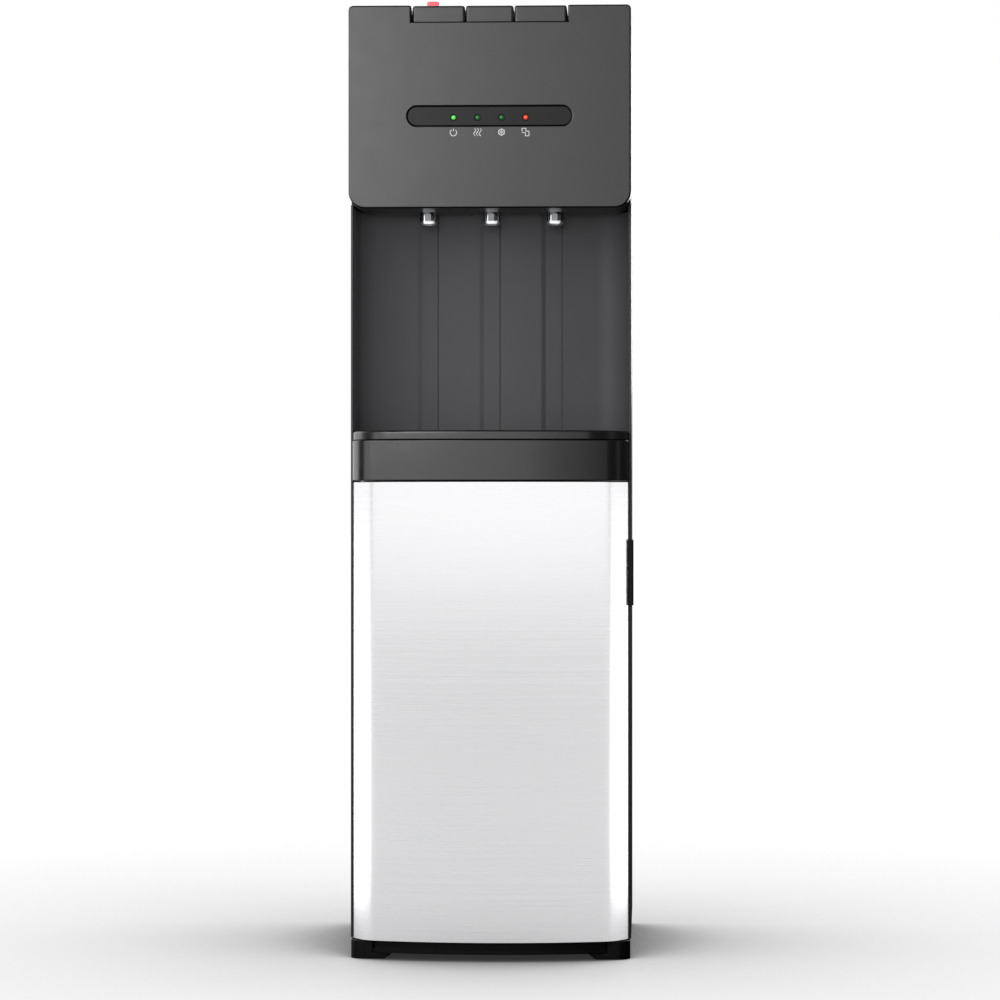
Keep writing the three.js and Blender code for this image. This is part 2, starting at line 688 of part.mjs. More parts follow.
// Plastic inner frame of the door: closed at the front, top, bottom and sides, open to the back.
function doorLiner() {
  const inset = SKIN + 0.35;
  const body = upright(bowed(DOOR_HALF - inset, DOOR_FRONT + inset, DOOR_BOW - inset,
    DOOR_CORNER - inset, DOOR_REAR + 20, 14, 7), DOOR_BOTTOM + 0.6, DOOR_TOP - 0.6)
    .trimByPlane([0, -1, 0], -DOOR_REAR);
  const wall = 2.5;
  const hollow = upright(bowed(122, DOOR_FRONT + inset + wall, DOOR_BOW - inset - wall, 8, DOOR_REAR + 5),
    DOOR_BOTTOM + 18, DOOR_TOP - 18);
  const pins = [[DOOR_BOTTOM - 1, DOOR_BOTTOM + 13], [DOOR_TOP - 13, DOOR_TOP + 1]]
    .map(([low, high]) => rod(PIN_RADIUS + GAP, [...HINGE, low], [...HINGE, high]));
  return cut(body, hollow, handleSlot(0.3), ...pins);
}

// Pull tab: a plate behind the door's edge and a wing that laps the outside of the side panel.
function doorHandle() {
  const [low, high] = HANDLE_Z;
  const plate = block(128, 156.5, DOOR_REAR - 3, DOOR_REAR + 2.2, low, high);
  const wing = block(HALF_WIDTH + 0.5, 156.5, DOOR_REAR, -116, low, high);
  const edge = block(150.6, 160, DOOR_REAR - 4, DOOR_REAR - 0.6, low - 1, high + 1);
  return cut(join(plate, wing), edge);
}

// ---- assembly ----
add('base', base(), material(BLACK, 0.55));
for (const [name, front] of [['front', true], ['rear', false]]) {
  add(`foot_${name}_left`, foot(false, front), material(BLACK, 0.6));
  add(`foot_${name}_right`, foot(true, front), material(BLACK, 0.6));
}
add('side_panel_left', sidePanel(-1), material(CHARCOAL, 0.4, 0.3));
add('side_panel_right', sidePanel(1), material(CHARCOAL, 0.4, 0.3));
add('rear_panel', rearPanel(), material(0x3a3b3d, 0.5, 0.4));
add('mid_deck', midDeck(), material(0x8d9093, 0.45, 0.8));
add('tank_shelf', tankShelf(), material(0x8d9093, 0.45, 0.8));
add('tray_shelf', trayShelf(), material(0x3c3d3f, 0.45));
add('alcove_liner', alcoveLiner(), material(0x3f4042, 0.55));
add('drip_tray', dripTray(), material(0x3c3d3f, 0.45));
add('drip_grille', dripGrille(), material(0x2c2d2f, 0.5));
add('fascia', fascia(), material(CHARCOAL, 0.45));
add('indicator_window', indicatorWindow(), material(0x1c1d1f, 0.2));
add('indicator_board', indicatorBoard(), material(0x1d5b34, 0.6));
for (const [name, x, color] of LAMPS) add(name, lamp(x), material(color, 0.2));
add('head_shell', headShell(), material(BLACK, 0.55));
add('top_cover', topCover(), material(CHARCOAL, 0.5));
for (const [name, x] of TAPS) {
  add(`tap_${name}`, tap(x), material(0xd8dadd, 0.12, 1));
  add(`push_rod_${name}`, pushRod(x), material(0xe6e4de, 0.5));
  add(`button_${name}`, button(name), material(0x454648, 0.45));
  add(`button_spring_${name}`, buttonSpring(x), material(STEEL, 0.3, 1));
}
add('button_axle', rod(AXLE_RADIUS, [-90, ...AXLE], [90, ...AXLE], 12), material(STEEL, 0.25, 1));
add('child_lock', childLock(), material(0xe23b4a, 0.3));
add('cold_tank', coldTank(), material(0xe9ebee, 0.8));
add('hot_tank', hotTank(), material(STEEL, 0.3, 1));
add('compressor', compressor(), material(BLACK, 0.4, 0.4));
add('condenser', condenser(), material(0x222325, 0.45, 0.5));
add('water_pump', waterPump(), material(0x2a2b2e, 0.5));
add('control_box', controlBox(), material(0x1f2022, 0.6));
add('suction_probe', suctionProbe(), material(0xd9dadb, 0.3, 0.6));
const silicone = () => material(0xe8ebe8, 0.45);
add('riser_hose', riserHose(), silicone());
add('feed_hose', feedHose(), silicone());
add('hot_hose', hotHose(), silicone());
add('room_hose', roomHose(), silicone());
add('cold_hose', coldHose(), silicone());
add('power_inlet', powerInlet(), material(BLACK, 0.5));
add('switch_block', switchBlock(), material(BLACK, 0.5));
add('heat_switch', rocker(-9), material(0xb3202a, 0.35));
add('cool_switch', rocker(9), material(0x1f7a3a, 0.35));
add('drain_spout', drainSpout(), material(0xd8d8d4, 0.5));
add('drain_cap', drainCap(), material(0x303134, 0.55));
add('door_skin', doorSkin(), material(0xc6c7c9, 0.3, 1));
add('door_liner', doorLiner(), material(0x303133, 0.55));
add('door_handle', doorHandle(), material(BLACK, 0.5));
add('hinge_pin_lower', rod(PIN_RADIUS, [...HINGE, 12.6], [...HINGE, 33], 16), material(STEEL, 0.25, 1));
add('hinge_pin_upper', rod(PIN_RADIUS, [...HINGE, 509], [...HINGE, 534], 16), material(STEEL, 0.25, 1));

export default product;
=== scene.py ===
import json
import math

import bmesh
import bpy
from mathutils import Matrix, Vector

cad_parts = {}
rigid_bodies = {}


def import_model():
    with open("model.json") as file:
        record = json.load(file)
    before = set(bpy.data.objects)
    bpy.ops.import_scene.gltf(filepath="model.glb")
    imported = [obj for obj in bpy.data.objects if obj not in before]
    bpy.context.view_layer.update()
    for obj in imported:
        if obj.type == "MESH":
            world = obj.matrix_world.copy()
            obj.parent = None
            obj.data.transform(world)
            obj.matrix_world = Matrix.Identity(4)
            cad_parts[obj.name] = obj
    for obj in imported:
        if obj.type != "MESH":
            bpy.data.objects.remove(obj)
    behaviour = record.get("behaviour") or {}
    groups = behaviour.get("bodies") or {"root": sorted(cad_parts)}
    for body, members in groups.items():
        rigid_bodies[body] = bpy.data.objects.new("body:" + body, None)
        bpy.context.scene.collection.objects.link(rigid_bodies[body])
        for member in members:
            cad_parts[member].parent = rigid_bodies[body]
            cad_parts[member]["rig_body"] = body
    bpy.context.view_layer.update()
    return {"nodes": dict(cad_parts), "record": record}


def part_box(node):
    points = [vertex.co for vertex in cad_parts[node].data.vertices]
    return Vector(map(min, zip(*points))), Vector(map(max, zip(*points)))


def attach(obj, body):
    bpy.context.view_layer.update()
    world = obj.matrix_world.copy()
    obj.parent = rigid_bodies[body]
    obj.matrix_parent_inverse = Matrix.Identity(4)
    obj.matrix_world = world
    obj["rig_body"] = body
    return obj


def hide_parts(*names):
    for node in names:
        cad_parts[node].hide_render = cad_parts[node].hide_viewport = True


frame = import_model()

MM = 0.001

# ---- places, from the frame ----
FASCIA_LOW, FASCIA_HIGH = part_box("fascia")
DOOR_LOW, DOOR_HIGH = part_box("door_skin")
LIP_LOW, LIP_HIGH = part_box("drip_tray")
SHELF_LOW, SHELF_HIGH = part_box("tray_shelf")
STRIP_LOW, STRIP_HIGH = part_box("indicator_window")
TAPS = ("hot", "room", "cold")
SIDE_NAMES = {-1: "left", 1: "right"}
LAMPS = ("power", "heating", "cooling", "bottle_empty")
HALF_PI = math.pi / 2
SHARP = 32  # degrees between two faces from which their edge is drawn sharp


def centre(node):
    low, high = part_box(node)
    return (low + high) / 2


# ---- outlines: lists of (u, v) points, anticlockwise ----
def arc(u, v, radius, start, stop, steps):
    points = []
    for i in range(steps + 1):
        angle = start + (stop - start) * i / steps
        points.append((u + radius * math.cos(angle), v + radius * math.sin(angle)))
    return points


def rounded_rect(u0, u1, v0, v1, radius, steps=8):
    return (
        arc(u0 + radius, v0 + radius, radius, math.pi, 1.5 * math.pi, steps)
        + arc(u1 - radius, v0 + radius, radius, -HALF_PI, 0, steps)
        + arc(u1 - radius, v1 - radius, radius, 0, HALF_PI, steps)
        + arc(u0 + radius, v1 - radius, radius, HALF_PI, math.pi, steps)
    )


def bowed_front(half, front, bow, corner, rear, steps=28, edge=90):
    """
    Open path round a bowed front, from the left rear edge to the right rear edge.
    The corner's arc turns as far as the edge angle, in degrees, where it meets the flat side.
    """
    reach = bow - corner
    turn = math.radians(edge)
    across = half - corner * math.sin(turn)
    corner_y = front + bow - math.sqrt(reach * reach - across * across)
    meet = math.asin(across / reach)
    side = arc(across, corner_y, corner, meet - HALF_PI, turn - HALF_PI, steps // 2)
    side = [p for p in side if p[1] < rear]
    curve = arc(0, front + bow, bow, -HALF_PI - meet, -HALF_PI + meet, steps)
    right = curve[:-1] + side
    if side[-1][0] > half - 0.1 * MM or edge < 90:
        right.append((half, rear))
    else:
        angle = math.asin((rear - corner_y) / corner)
        right.append((across + corner * math.cos(angle), rear))
    left = [(-u, v) for u, v in reversed(right[len(curve) - 1:])]
    return left + right


def inset(points, distance):
    """Moves a closed outline's edges towards its left side, with mitred corners."""
    if abs(distance) < 1e-9:
        return list(points)
    moved = []
    count = len(points)
    for i in range(count):
        before = Vector(points[i - 1])
        here = Vector(points[i])
        after = Vector(points[(i + 1) % count])
        first = (here - before).normalized()
        second = (after - here).normalized()
        left_a = Vector((-first.y, first.x))
        left_b = Vector((-second.y, second.x))
        middle = left_a + left_b
        reach = max(middle.length_squared / 2, 0.3)
        shift = middle * (distance / reach)
        moved.append((here.x + shift.x, here.y + shift.y))
    return moved


def edge_sections(low, high, low_round, high_round, steps=4):
    """(inset, height) pairs from low to high with both rims rounded."""
    sections = []
    for i in range(steps + 1):
        angle = HALF_PI * i / steps
        sections.append((low_round * (1 - math.sin(angle)), low + low_round * (1 - math.cos(angle))))
    for i in range(steps + 1):
        angle = HALF_PI * (1 - i / steps)
        sections.append((high_round * (1 - math.sin(angle)), high - high_round * (1 - math.cos(angle))))
    return sections


# ---- placing an outline in space ----
def in_plan(u, v, height):
    return Vector((u, v, height))


def from_front(u, v, depth):
    return Vector((u, depth, v))


def from_side(u, v, across):
    return Vector((across, u, v))


def stack(outline, sections, place):
    """Rings of points, one for each (inset, depth) section."""
    return [[place(u, v, depth) for u, v in inset(outline, amount)] for amount, depth in sections]


# ---- meshes ----
def link(name, mesh, material, sharp=SHARP):
    mesh.name = name
    piece = bpy.data.objects.new(name, mesh)
    bpy.context.scene.collection.objects.link(piece)
    piece.data.materials.append(material)
    for face in mesh.polygons:
        face.use_smooth = True
    mesh.set_sharp_from_angle(angle=math.radians(sharp))
    return piece


def mesh_of(bm, name):
    bmesh.ops.remove_doubles(bm, verts=bm.verts, dist=1e-7)
    bmesh.ops.recalc_face_normals(bm, faces=bm.faces)
    mesh = bpy.data.meshes.new(name)
    bm.to_mesh(mesh)
    bm.free()
    return mesh


def skin_rings(bm, rings):
    """Joins each ring to the next with quads, and returns the first and the last ring's vertices."""
    made = [[bm.verts.new(p) for p in ring] for ring in rings]
    for lower, upper in zip(made, made[1:]):
        count = len(lower)
        for i in range(count):
            j = (i + 1) % count
            bm.faces.new((lower[i], lower[j], upper[j], upper[i]))
    return made[0], made[-1]


def cap(bm, *rings):
    """Fills the flat area bounded by one ring, or between an outer ring and the holes in it."""
    if len(rings) == 1:
        bm.faces.new(rings[0])
        return
    edges = []
    for ring in rings:
        for i, vert in enumerate(ring):
            following = ring[(i + 1) % len(ring)]
            edges.append(bm.edges.get((vert, following)) or bm.edges.new((vert, following)))
    bmesh.ops.triangle_fill(bm, use_beauty=True, use_dissolve=False, edges=edges)


def shell(name, stacks, caps, material, sharp=SHARP):
    """A closed piece from stacks of rings. caps lists groups of (stack, end) whose rings bound one face."""
    bm = bmesh.new()
    ends = [skin_rings(bm, rings) for rings in stacks]
    for group in caps:
        cap(bm, *[ends[index][end] for index, end in group])
    return link(name, mesh_of(bm, name), material, sharp)


def plate(name, outer, holes, sections, place, material):
    """A plate with holes. Every outline has the same edge rounding, and is given anticlockwise."""
    stacks = [stack(outer, sections, place)]
    stacks += [stack(hole[::-1], sections, place) for hole in holes]
    everything = range(len(stacks))
    caps = [[(i, 0) for i in everything], [(i, 1) for i in everything]]
    return shell(name, stacks, caps, material)


def turned(name, profile, x, y, material, along=in_plan, sides=48):
    """A turned piece: (radius, height) pairs, closed at both ends on the axis."""
    bm = bmesh.new()
    rings = []
    for radius, height in profile:
        ring = []
        for i in range(sides):
            angle = 2 * math.pi * i / sides
            ring.append(along(x + radius * math.cos(angle), y + radius * math.sin(angle), height))
        rings.append(ring)
    first, last = skin_rings(bm, rings)
    cap(bm, first)
    cap(bm, last)
    return link(name, mesh_of(bm, name), material)


def stroke(name, paths, width, front, depth, material):
    """Flat printed lines: each path is a list of (x, z) points, drawn as a ribbon of the given width."""
    bm = bmesh.new()
    for path, closed in paths:
        count = len(path)
        left, right = [], []
        for i, point in enumerate(path):
            here = Vector(point)
            before = Vector(path[i - 1]) if i or closed else here
            after = Vector(path[(i + 1) % count]) if i < count - 1 or closed else here
            first = (here - before).normalized() if (here - before).length else (after - here).normalized()
            second = (after - here).normalized() if (after - here).length else first
            middle = Vector((-first.y - second.y, first.x + second.x))
            shift = middle * (width / max(middle.length_squared, 0.6))
            left.append(here + shift)
            right.append(here - shift)
        spans = range(count if closed else count - 1)
        for i in spans:
            j = (i + 1) % count
            corners = [left[i], right[i], right[j], left[j]]
            low = [bm.verts.new((c.x, front, c.y)) for c in corners]
            high = [bm.verts.new((c.x, front + depth, c.y)) for c in corners]
            bm.faces.new(low)
            bm.faces.new(high[::-1])
            for k in range(4):
                m = (k + 1) % 4
                bm.faces.new((low[k], high[k], high[m], low[m]))
    return link(name, mesh_of(bm, name), material)


def tube(name, points, radius, material):
    curve = bpy.data.curves.new(name, "CURVE")
    curve.dimensions = "3D"
    curve.bevel_depth = radius
    curve.bevel_resolution = 6
    curve.use_fill_caps = True
    spline = curve.splines.new("POLY")
    spline.points.add(len(points) - 1)
    for target, point in zip(spline.points, points):
        target.co = (*point, 1)
    spline.use_smooth = True
    piece = bpy.data.objects.new(name, curve)
    bpy.context.scene.collection.objects.link(piece)
    curve.materials.append(material)
    return piece


def cut_away(piece, *cutters):
    """Cuts closed meshes out of a piece for good, and removes them."""
    for cutter in cutters:
        change = piece.modifiers.new("cut", "BOOLEAN")
        change.operation = "DIFFERENCE"
        change.solver = "EXACT"
        change.object = cutter
    keep_shape(piece)
    for cutter in cutters:
        bpy.data.objects.remove(cutter)


def fuse(piece, *others):
    for other in others:
        change = piece.modifiers.new("fuse", "BOOLEAN")
        change.operation = "UNION"
        change.solver = "EXACT"
        change.object = other
    keep_shape(piece)
    for other in others:
        bpy.data.objects.remove(other)


def keep_shape(piece):
    """Turns a piece's modifiers into its mesh."""
    bpy.context.view_layer.update()
    ready = piece.evaluated_get(bpy.context.evaluated_depsgraph_get())
    mesh = bpy.data.meshes.new_from_object(ready)
    piece.modifiers.clear()
    piece.data = mesh
    for face in mesh.polygons:
        face.use_smooth = True
    mesh.set_sharp_from_angle(angle=math.radians(SHARP))


def soften(node, width):
    """Rounds the edges of a CAD node and smooths its curved faces, with modifiers only."""
    piece = frame["nodes"][node]
    for face in piece.data.polygons:
        face.use_smooth = True
    weld = piece.modifiers.new("weld", "WELD")
    weld.merge_threshold = 1e-5
    flat = piece.modifiers.new("flat", "DECIMATE")
    flat.decimate_type = "DISSOLVE"
    flat.angle_limit = math.radians(1)
    bevel = piece.modifiers.new("round", "BEVEL")
    bevel.width = width
    bevel.segments = 2
    bevel.limit_method = "ANGLE"
    bevel.angle_limit = math.radians(38)
    bevel.harden_normals = True


# ---- materials ----
def new_material(name):
    material = bpy.data.materials.new(name)
    material.use_nodes = True
    tree = material.node_tree
    return material, tree.nodes, tree.links, tree.nodes["Principled BSDF"]


def coordinates(nodes, links, scale=(1, 1, 1)):
    source = nodes.new("ShaderNodeTexCoord")
    mapping = nodes.new("ShaderNodeMapping")
    mapping.inputs["Scale"].default_value = scale
    links.new(source.outputs["Object"], mapping.inputs["Vector"])
    return mapping.outputs["Vector"]


def noise(nodes, links, where, scale, detail=3.0, roughness=0.5):
    texture = nodes.new("ShaderNodeTexNoise")
    texture.inputs["Scale"].default_value = scale
    texture.inputs["Detail"].default_value = detail
    texture.inputs["Roughness"].default_value = roughness
    links.new(where, texture.inputs["Vector"])
    return texture.outputs["Fac"]


def spread(nodes, links, value, low, high, start=0.3, stop=0.7):
    """Maps a noise value onto a range."""
    ranged = nodes.new("ShaderNodeMapRange")
    ranged.inputs["From Min"].default_value = start
    ranged.inputs["From Max"].default_value = stop
    ranged.inputs["To Min"].default_value = low
    ranged.inputs["To Max"].default_value = high
    links.new(value, ranged.inputs["Value"])
    return ranged.outputs["Result"]


def shades(nodes, links, value, colour, amount):
    """A colour that drifts a little darker and lighter with the value."""
    ramp = nodes.new("ShaderNodeValToRGB")
    ramp.color_ramp.elements[0].position = 0.3
    ramp.color_ramp.elements[1].position = 0.7
    ramp.color_ramp.elements[0].color = (*[c * (1 - amount) for c in colour], 1)
    ramp.color_ramp.elements[1].color = (*[min(1, c * (1 + amount)) for c in colour], 1)
    links.new(value, ramp.inputs["Fac"])
    return ramp.outputs["Color"]


def bump(nodes, links, bsdf, value, distance, strength=1.0):
    node = nodes.new("ShaderNodeBump")
    node.inputs["Strength"].default_value = strength
    node.inputs["Distance"].default_value = distance
    links.new(value, node.inputs["Height"])
    links.new(node.outputs["Normal"], bsdf.inputs["Normal"])


def moulded(name, colour, rough, grain=0.05 * MM, grain_scale=2600, variation=0.06, gloss=0.5):
    """Moulded plastic: fine texture from the mould, and faint drifts of colour and gloss."""
    material, nodes, links, bsdf = new_material(name)
    where = coordinates(nodes, links)
    broad = noise(nodes, links, where, 9, 4)
    fine = noise(nodes, links, where, grain_scale, 2)
    links.new(shades(nodes, links, broad, colour, variation), bsdf.inputs["Base Color"])
    smudge = noise(nodes, links, where, 42, 5, 0.6)
    links.new(spread(nodes, links, smudge, rough - 0.02, rough + 0.03), bsdf.inputs["Roughness"])
    bump(nodes, links, bsdf, fine, grain, 0.5)
    bsdf.inputs["Specular IOR Level"].default_value = gloss
    return material


def plastic_with_painted_glow(name, colour, rough, strength):
    """Moulded plastic with a painted glow: it gives off light in its own colour."""
    material = moulded(name, colour, rough, 0.01 * MM)
    bsdf = material.node_tree.nodes["Principled BSDF"]
    bsdf.inputs["Emission Color"].default_value = (*colour, 1)
    bsdf.inputs["Emission Strength"].default_value = strength
    return material


def powder_coat(name, colour, rough):
    """Powder coat or enamel on sheet steel, with its orange peel."""
    material, nodes, links, bsdf = new_material(name)
    where = coordinates(nodes, links)
    peel = noise(nodes, links, where, 700, 2, 0.4)
    broad = noise(nodes, links, where, 6, 3)
    links.new(shades(nodes, links, broad, colour, 0.05), bsdf.inputs["Base Color"])
    links.new(spread(nodes, links, peel, rough - 0.04, rough + 0.05), bsdf.inputs["Roughness"])
    bump(nodes, links, bsdf, peel, 0.08 * MM, 0.35)
    return material


def brushed(name, colour, rough, grain=(7, 7, 1500)):
    """Brushed metal: streaks along one direction in its colour, gloss and relief."""
    material, nodes, links, bsdf = new_material(name)
    fine = noise(nodes, links, coordinates(nodes, links, grain), 1.0, 4, 0.65)
    longer = tuple(g * 0.32 for g in grain)
    coarse = noise(nodes, links, coordinates(nodes, links, longer), 1.0, 3, 0.55)
    mixed = nodes.new("ShaderNodeMath")
    mixed.operation = "MULTIPLY_ADD"
    mixed.inputs[1].default_value = 0.55
    links.new(fine, mixed.inputs[0])
    half = nodes.new("ShaderNodeMath")
    half.operation = "MULTIPLY"
    half.inputs[1].default_value = 0.45
    links.new(coarse, half.inputs[0])
    links.new(half.outputs[0], mixed.inputs[2])
    both = mixed.outputs[0]
    links.new(shades(nodes, links, both, colour, 0.05), bsdf.inputs["Base Color"])
    links.new(spread(nodes, links, both, rough - 0.05, rough + 0.07), bsdf.inputs["Roughness"])
    bump(nodes, links, bsdf, both, 0.012 * MM, 0.5)
    bsdf.inputs["Metallic"].default_value = 1.0
    return material


def polished(name, colour, rough):
    """Plated metal with faint haze and polishing marks."""
    material, nodes, links, bsdf = new_material(name)
    where = coordinates(nodes, links)
    haze = noise(nodes, links, where, 160, 4)
    links.new(shades(nodes, links, haze, colour, 0.02), bsdf.inputs["Base Color"])
    links.new(spread(nodes, links, haze, rough - 0.02, rough + 0.04), bsdf.inputs["Roughness"])
    bsdf.inputs["Metallic"].default_value = 1.0
    return material


def lens(name, colour, glow, strength, middle):
    """Lamp lens: glows most at its middle and falls off to its rim."""
    material, nodes, links, bsdf = new_material(name)
    where = nodes.new("ShaderNodeTexCoord").outputs["Object"]
    away = nodes.new("ShaderNodeVectorMath")
    away.operation = "DISTANCE"
    away.inputs[1].default_value = middle
    links.new(where, away.inputs[0])
    falloff = nodes.new("ShaderNodeValToRGB")
    falloff.color_ramp.elements[0].position = 0.15
    falloff.color_ramp.elements[0].color = (*glow, 1)
    falloff.color_ramp.elements[1].position = 0.85
    falloff.color_ramp.elements[1].color = (*[g * 0.12 for g in colour], 1)
    scaled = spread(nodes, links, away.outputs["Value"], 0, 1, 0, 3.2 * MM)
    links.new(scaled, falloff.inputs["Fac"])
    links.new(falloff.outputs["Color"], bsdf.inputs["Emission Color"])
    bsdf.inputs["Emission Strength"].default_value = strength
    grain = noise(nodes, links, coordinates(nodes, links), 900, 2)
    links.new(shades(nodes, links, grain, colour, 0.05), bsdf.inputs["Base Color"])
    bsdf.inputs["Roughness"].default_value = 0.18
    return material


def rubbery(name, colour, rough):
    """Soft rubber or silicone that lets a little light in."""
    material, nodes, links, bsdf = new_material(name)
    where = coordinates(nodes, links)
    cloud = noise(nodes, links, where, 60, 4)
    links.new(shades(nodes, links, cloud, colour, 0.06), bsdf.inputs["Base Color"])
    links.new(spread(nodes, links, cloud, rough - 0.06, rough + 0.08), bsdf.inputs["Roughness"])
    bump(nodes, links, bsdf, noise(nodes, links, where, 1400, 2), 0.03 * MM, 0.4)
    bsdf.inputs["Subsurface Weight"].default_value = 0.12
    bsdf.inputs["Subsurface Radius"].default_value = (2 * MM, 2 * MM, 2 * MM)
    return material


def floor_material():
    """White studio floor that glows, with a painted shadow: its glow dims softly by ambient occlusion
    towards whatever stands on it.
    """
    material = bpy.data.materials.new("studio_floor")
    material.use_nodes = True
    nodes, links = material.node_tree.nodes, material.node_tree.links
    nodes.clear()
    near = nodes.new("ShaderNodeAmbientOcclusion")
    near.samples = 16
    near.inputs["Distance"].default_value = 1.3
    grey = nodes.new("ShaderNodeValToRGB")
    elements = grey.color_ramp.elements
    while len(elements) < len(FLOOR_SHADOW_TONES):
        elements.new(0.5)
    for element, (open_sky, level) in zip(elements, FLOOR_SHADOW_TONES):
        element.position = open_sky
        element.color = (level, level, level * 1.005, 1)
    links.new(near.outputs["AO"], grey.inputs["Fac"])
    glow = nodes.new("ShaderNodeEmission")
    links.new(grey.outputs["Color"], glow.inputs["Color"])
    output = nodes.new("ShaderNodeOutputMaterial")
    links.new(glow.outputs[0], output.inputs["Surface"])
    return material


LED_MIDDLES = {name: centre(f"led_{name}") for name in LAMPS}
LENS_LOOKS = {
    "power": ((0.02, 0.40, 0.03), (0.16, 0.85, 0.13), 1.15),
    "heating": ((0.015, 0.13, 0.03), (0.05, 0.30, 0.07), 0.5),
    "cooling": ((0.015, 0.13, 0.03), (0.05, 0.30, 0.07), 0.5),
    "bottle_empty": ((0.60, 0.04, 0.02), (1.0, 0.13, 0.04), 1.1),
}


def lamp_material(name):
    colour, glow, strength = LENS_LOOKS[name]
    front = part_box(f"led_{name}")[0].y
    middle = (LED_MIDDLES[name].x, front + 0.6 * MM, LED_MIDDLES[name].z)
    return lens(f"lens_{name}", colour, glow, strength, middle)


LOOKS = {
    "charcoal_plastic": moulded("charcoal_plastic", (0.022, 0.022, 0.0235), 0.42, gloss=0.9),
    "bay_plastic": moulded("bay_plastic", (0.008, 0.008, 0.0086), 0.25, 0.02 * MM, gloss=1.0),
    "black_plastic": moulded("black_plastic", (0.0035, 0.0035, 0.004), 0.40, gloss=0.25),
    "cabinet_paint": powder_coat("cabinet_paint", (0.030, 0.031, 0.033), 0.40),
    "door_steel": brushed("door_steel", (0.80, 0.80, 0.81), 0.24),
    "zinc_sheet": brushed("zinc_sheet", (0.50, 0.51, 0.52), 0.42, grain=(9, 600, 9)),
    "tap_chrome": polished("tap_chrome", (0.52, 0.53, 0.55), 0.07),
    "tank_steel": brushed("tank_steel", (0.62, 0.62, 0.64), 0.28),
    "foam_shell": moulded("foam_shell", (0.72, 0.73, 0.74), 0.8, 0.4 * MM, 420, 0.05),
    "compressor_paint": powder_coat("compressor_paint", (0.012, 0.012, 0.013), 0.30),
    "strip_window": moulded("strip_window", (0.013, 0.013, 0.0145), 0.42, 0.004 * MM,
                            variation=0.03, gloss=0.3),
    "circuit_board": moulded("circuit_board", (0.015, 0.10, 0.04), 0.35),
    "lamp_green": lamp_material("power"),
    "lamp_green_dim": lamp_material("heating"),
    "lamp_red": lamp_material("bottle_empty"),
    # The child lock's red slider glows with painted light.
    "lock_red": plastic_with_painted_glow("lock_red", (0.85, 0.11, 0.15), 0.30, 0.45),
    "white_plastic": moulded("white_plastic", (0.74, 0.73, 0.70), 0.45),
    "silicone_hose": rubbery("silicone_hose", (0.66, 0.68, 0.67), 0.5),
    "switch_red": moulded("switch_red", (0.40, 0.02, 0.02), 0.25, 0.01 * MM),
    "switch_green": moulded("switch_green", (0.02, 0.18, 0.05), 0.25, 0.01 * MM),
}
SLOT_OF = {part["node"]: part["material_slot"] for part in frame["record"]["subparts"]}
BAY_WALL = moulded("bay_wall_plastic", (0.052, 0.052, 0.055), 0.50, gloss=0.2)
# Painted highlight: a brighter, rougher copy of the tap chrome for the ring at each spout's mouth, so it
# reads as a white reflection.
MOUTH_RING_HIGHLIGHT = polished("tap_mouth_highlight", (0.95, 0.95, 0.96), 0.30)
PRINT_WHITE = moulded("print_white", (0.80, 0.80, 0.80), 0.5, 0.005 * MM)


def look_of(node):
    return LOOKS[SLOT_OF[node]]


def body_with(node):
    return frame["nodes"][node]["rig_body"]


def stands_for(piece, *nodes):
    """Rides the piece on its nodes' body in their place, and hides the nodes."""
    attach(piece, body_with(nodes[0]))
    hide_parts(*nodes)
    return piece


def detail(piece, body, slot):
    """A detail that has no node of its own: it only rides on a body."""
    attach(piece, body)
    return piece


def goes_on(piece, node):
    """A detail that rides with a node's body."""
    return detail(piece, body_with(node), SLOT_OF[node])


# ---- head ----
FASCIA_WALL = 2.7 * MM
FASCIA_DROP = 2.8 * MM
TAP_DROP = 1.8 * MM
NOTCH_HALF = 85.5 * MM
NOTCH_FLOOR = FASCIA_HIGH.z - 17.7 * MM
CHEEK_BACK = -99 * MM
STRIP_FLANGE = 3 * MM
STRIP = (STRIP_LOW.x + STRIP_FLANGE, STRIP_HIGH.x - STRIP_FLANGE,
         STRIP_LOW.z + STRIP_FLANGE, STRIP_HIGH.z - STRIP_FLANGE)


def pill(grow=0.0):
    x0, x1, z0, z1 = STRIP
    radius = (z1 - z0) / 2 + grow
    return rounded_rect(x0 - grow, x1 + grow, z0 - grow, z1 + grow, radius - 0.01 * MM, steps=14)


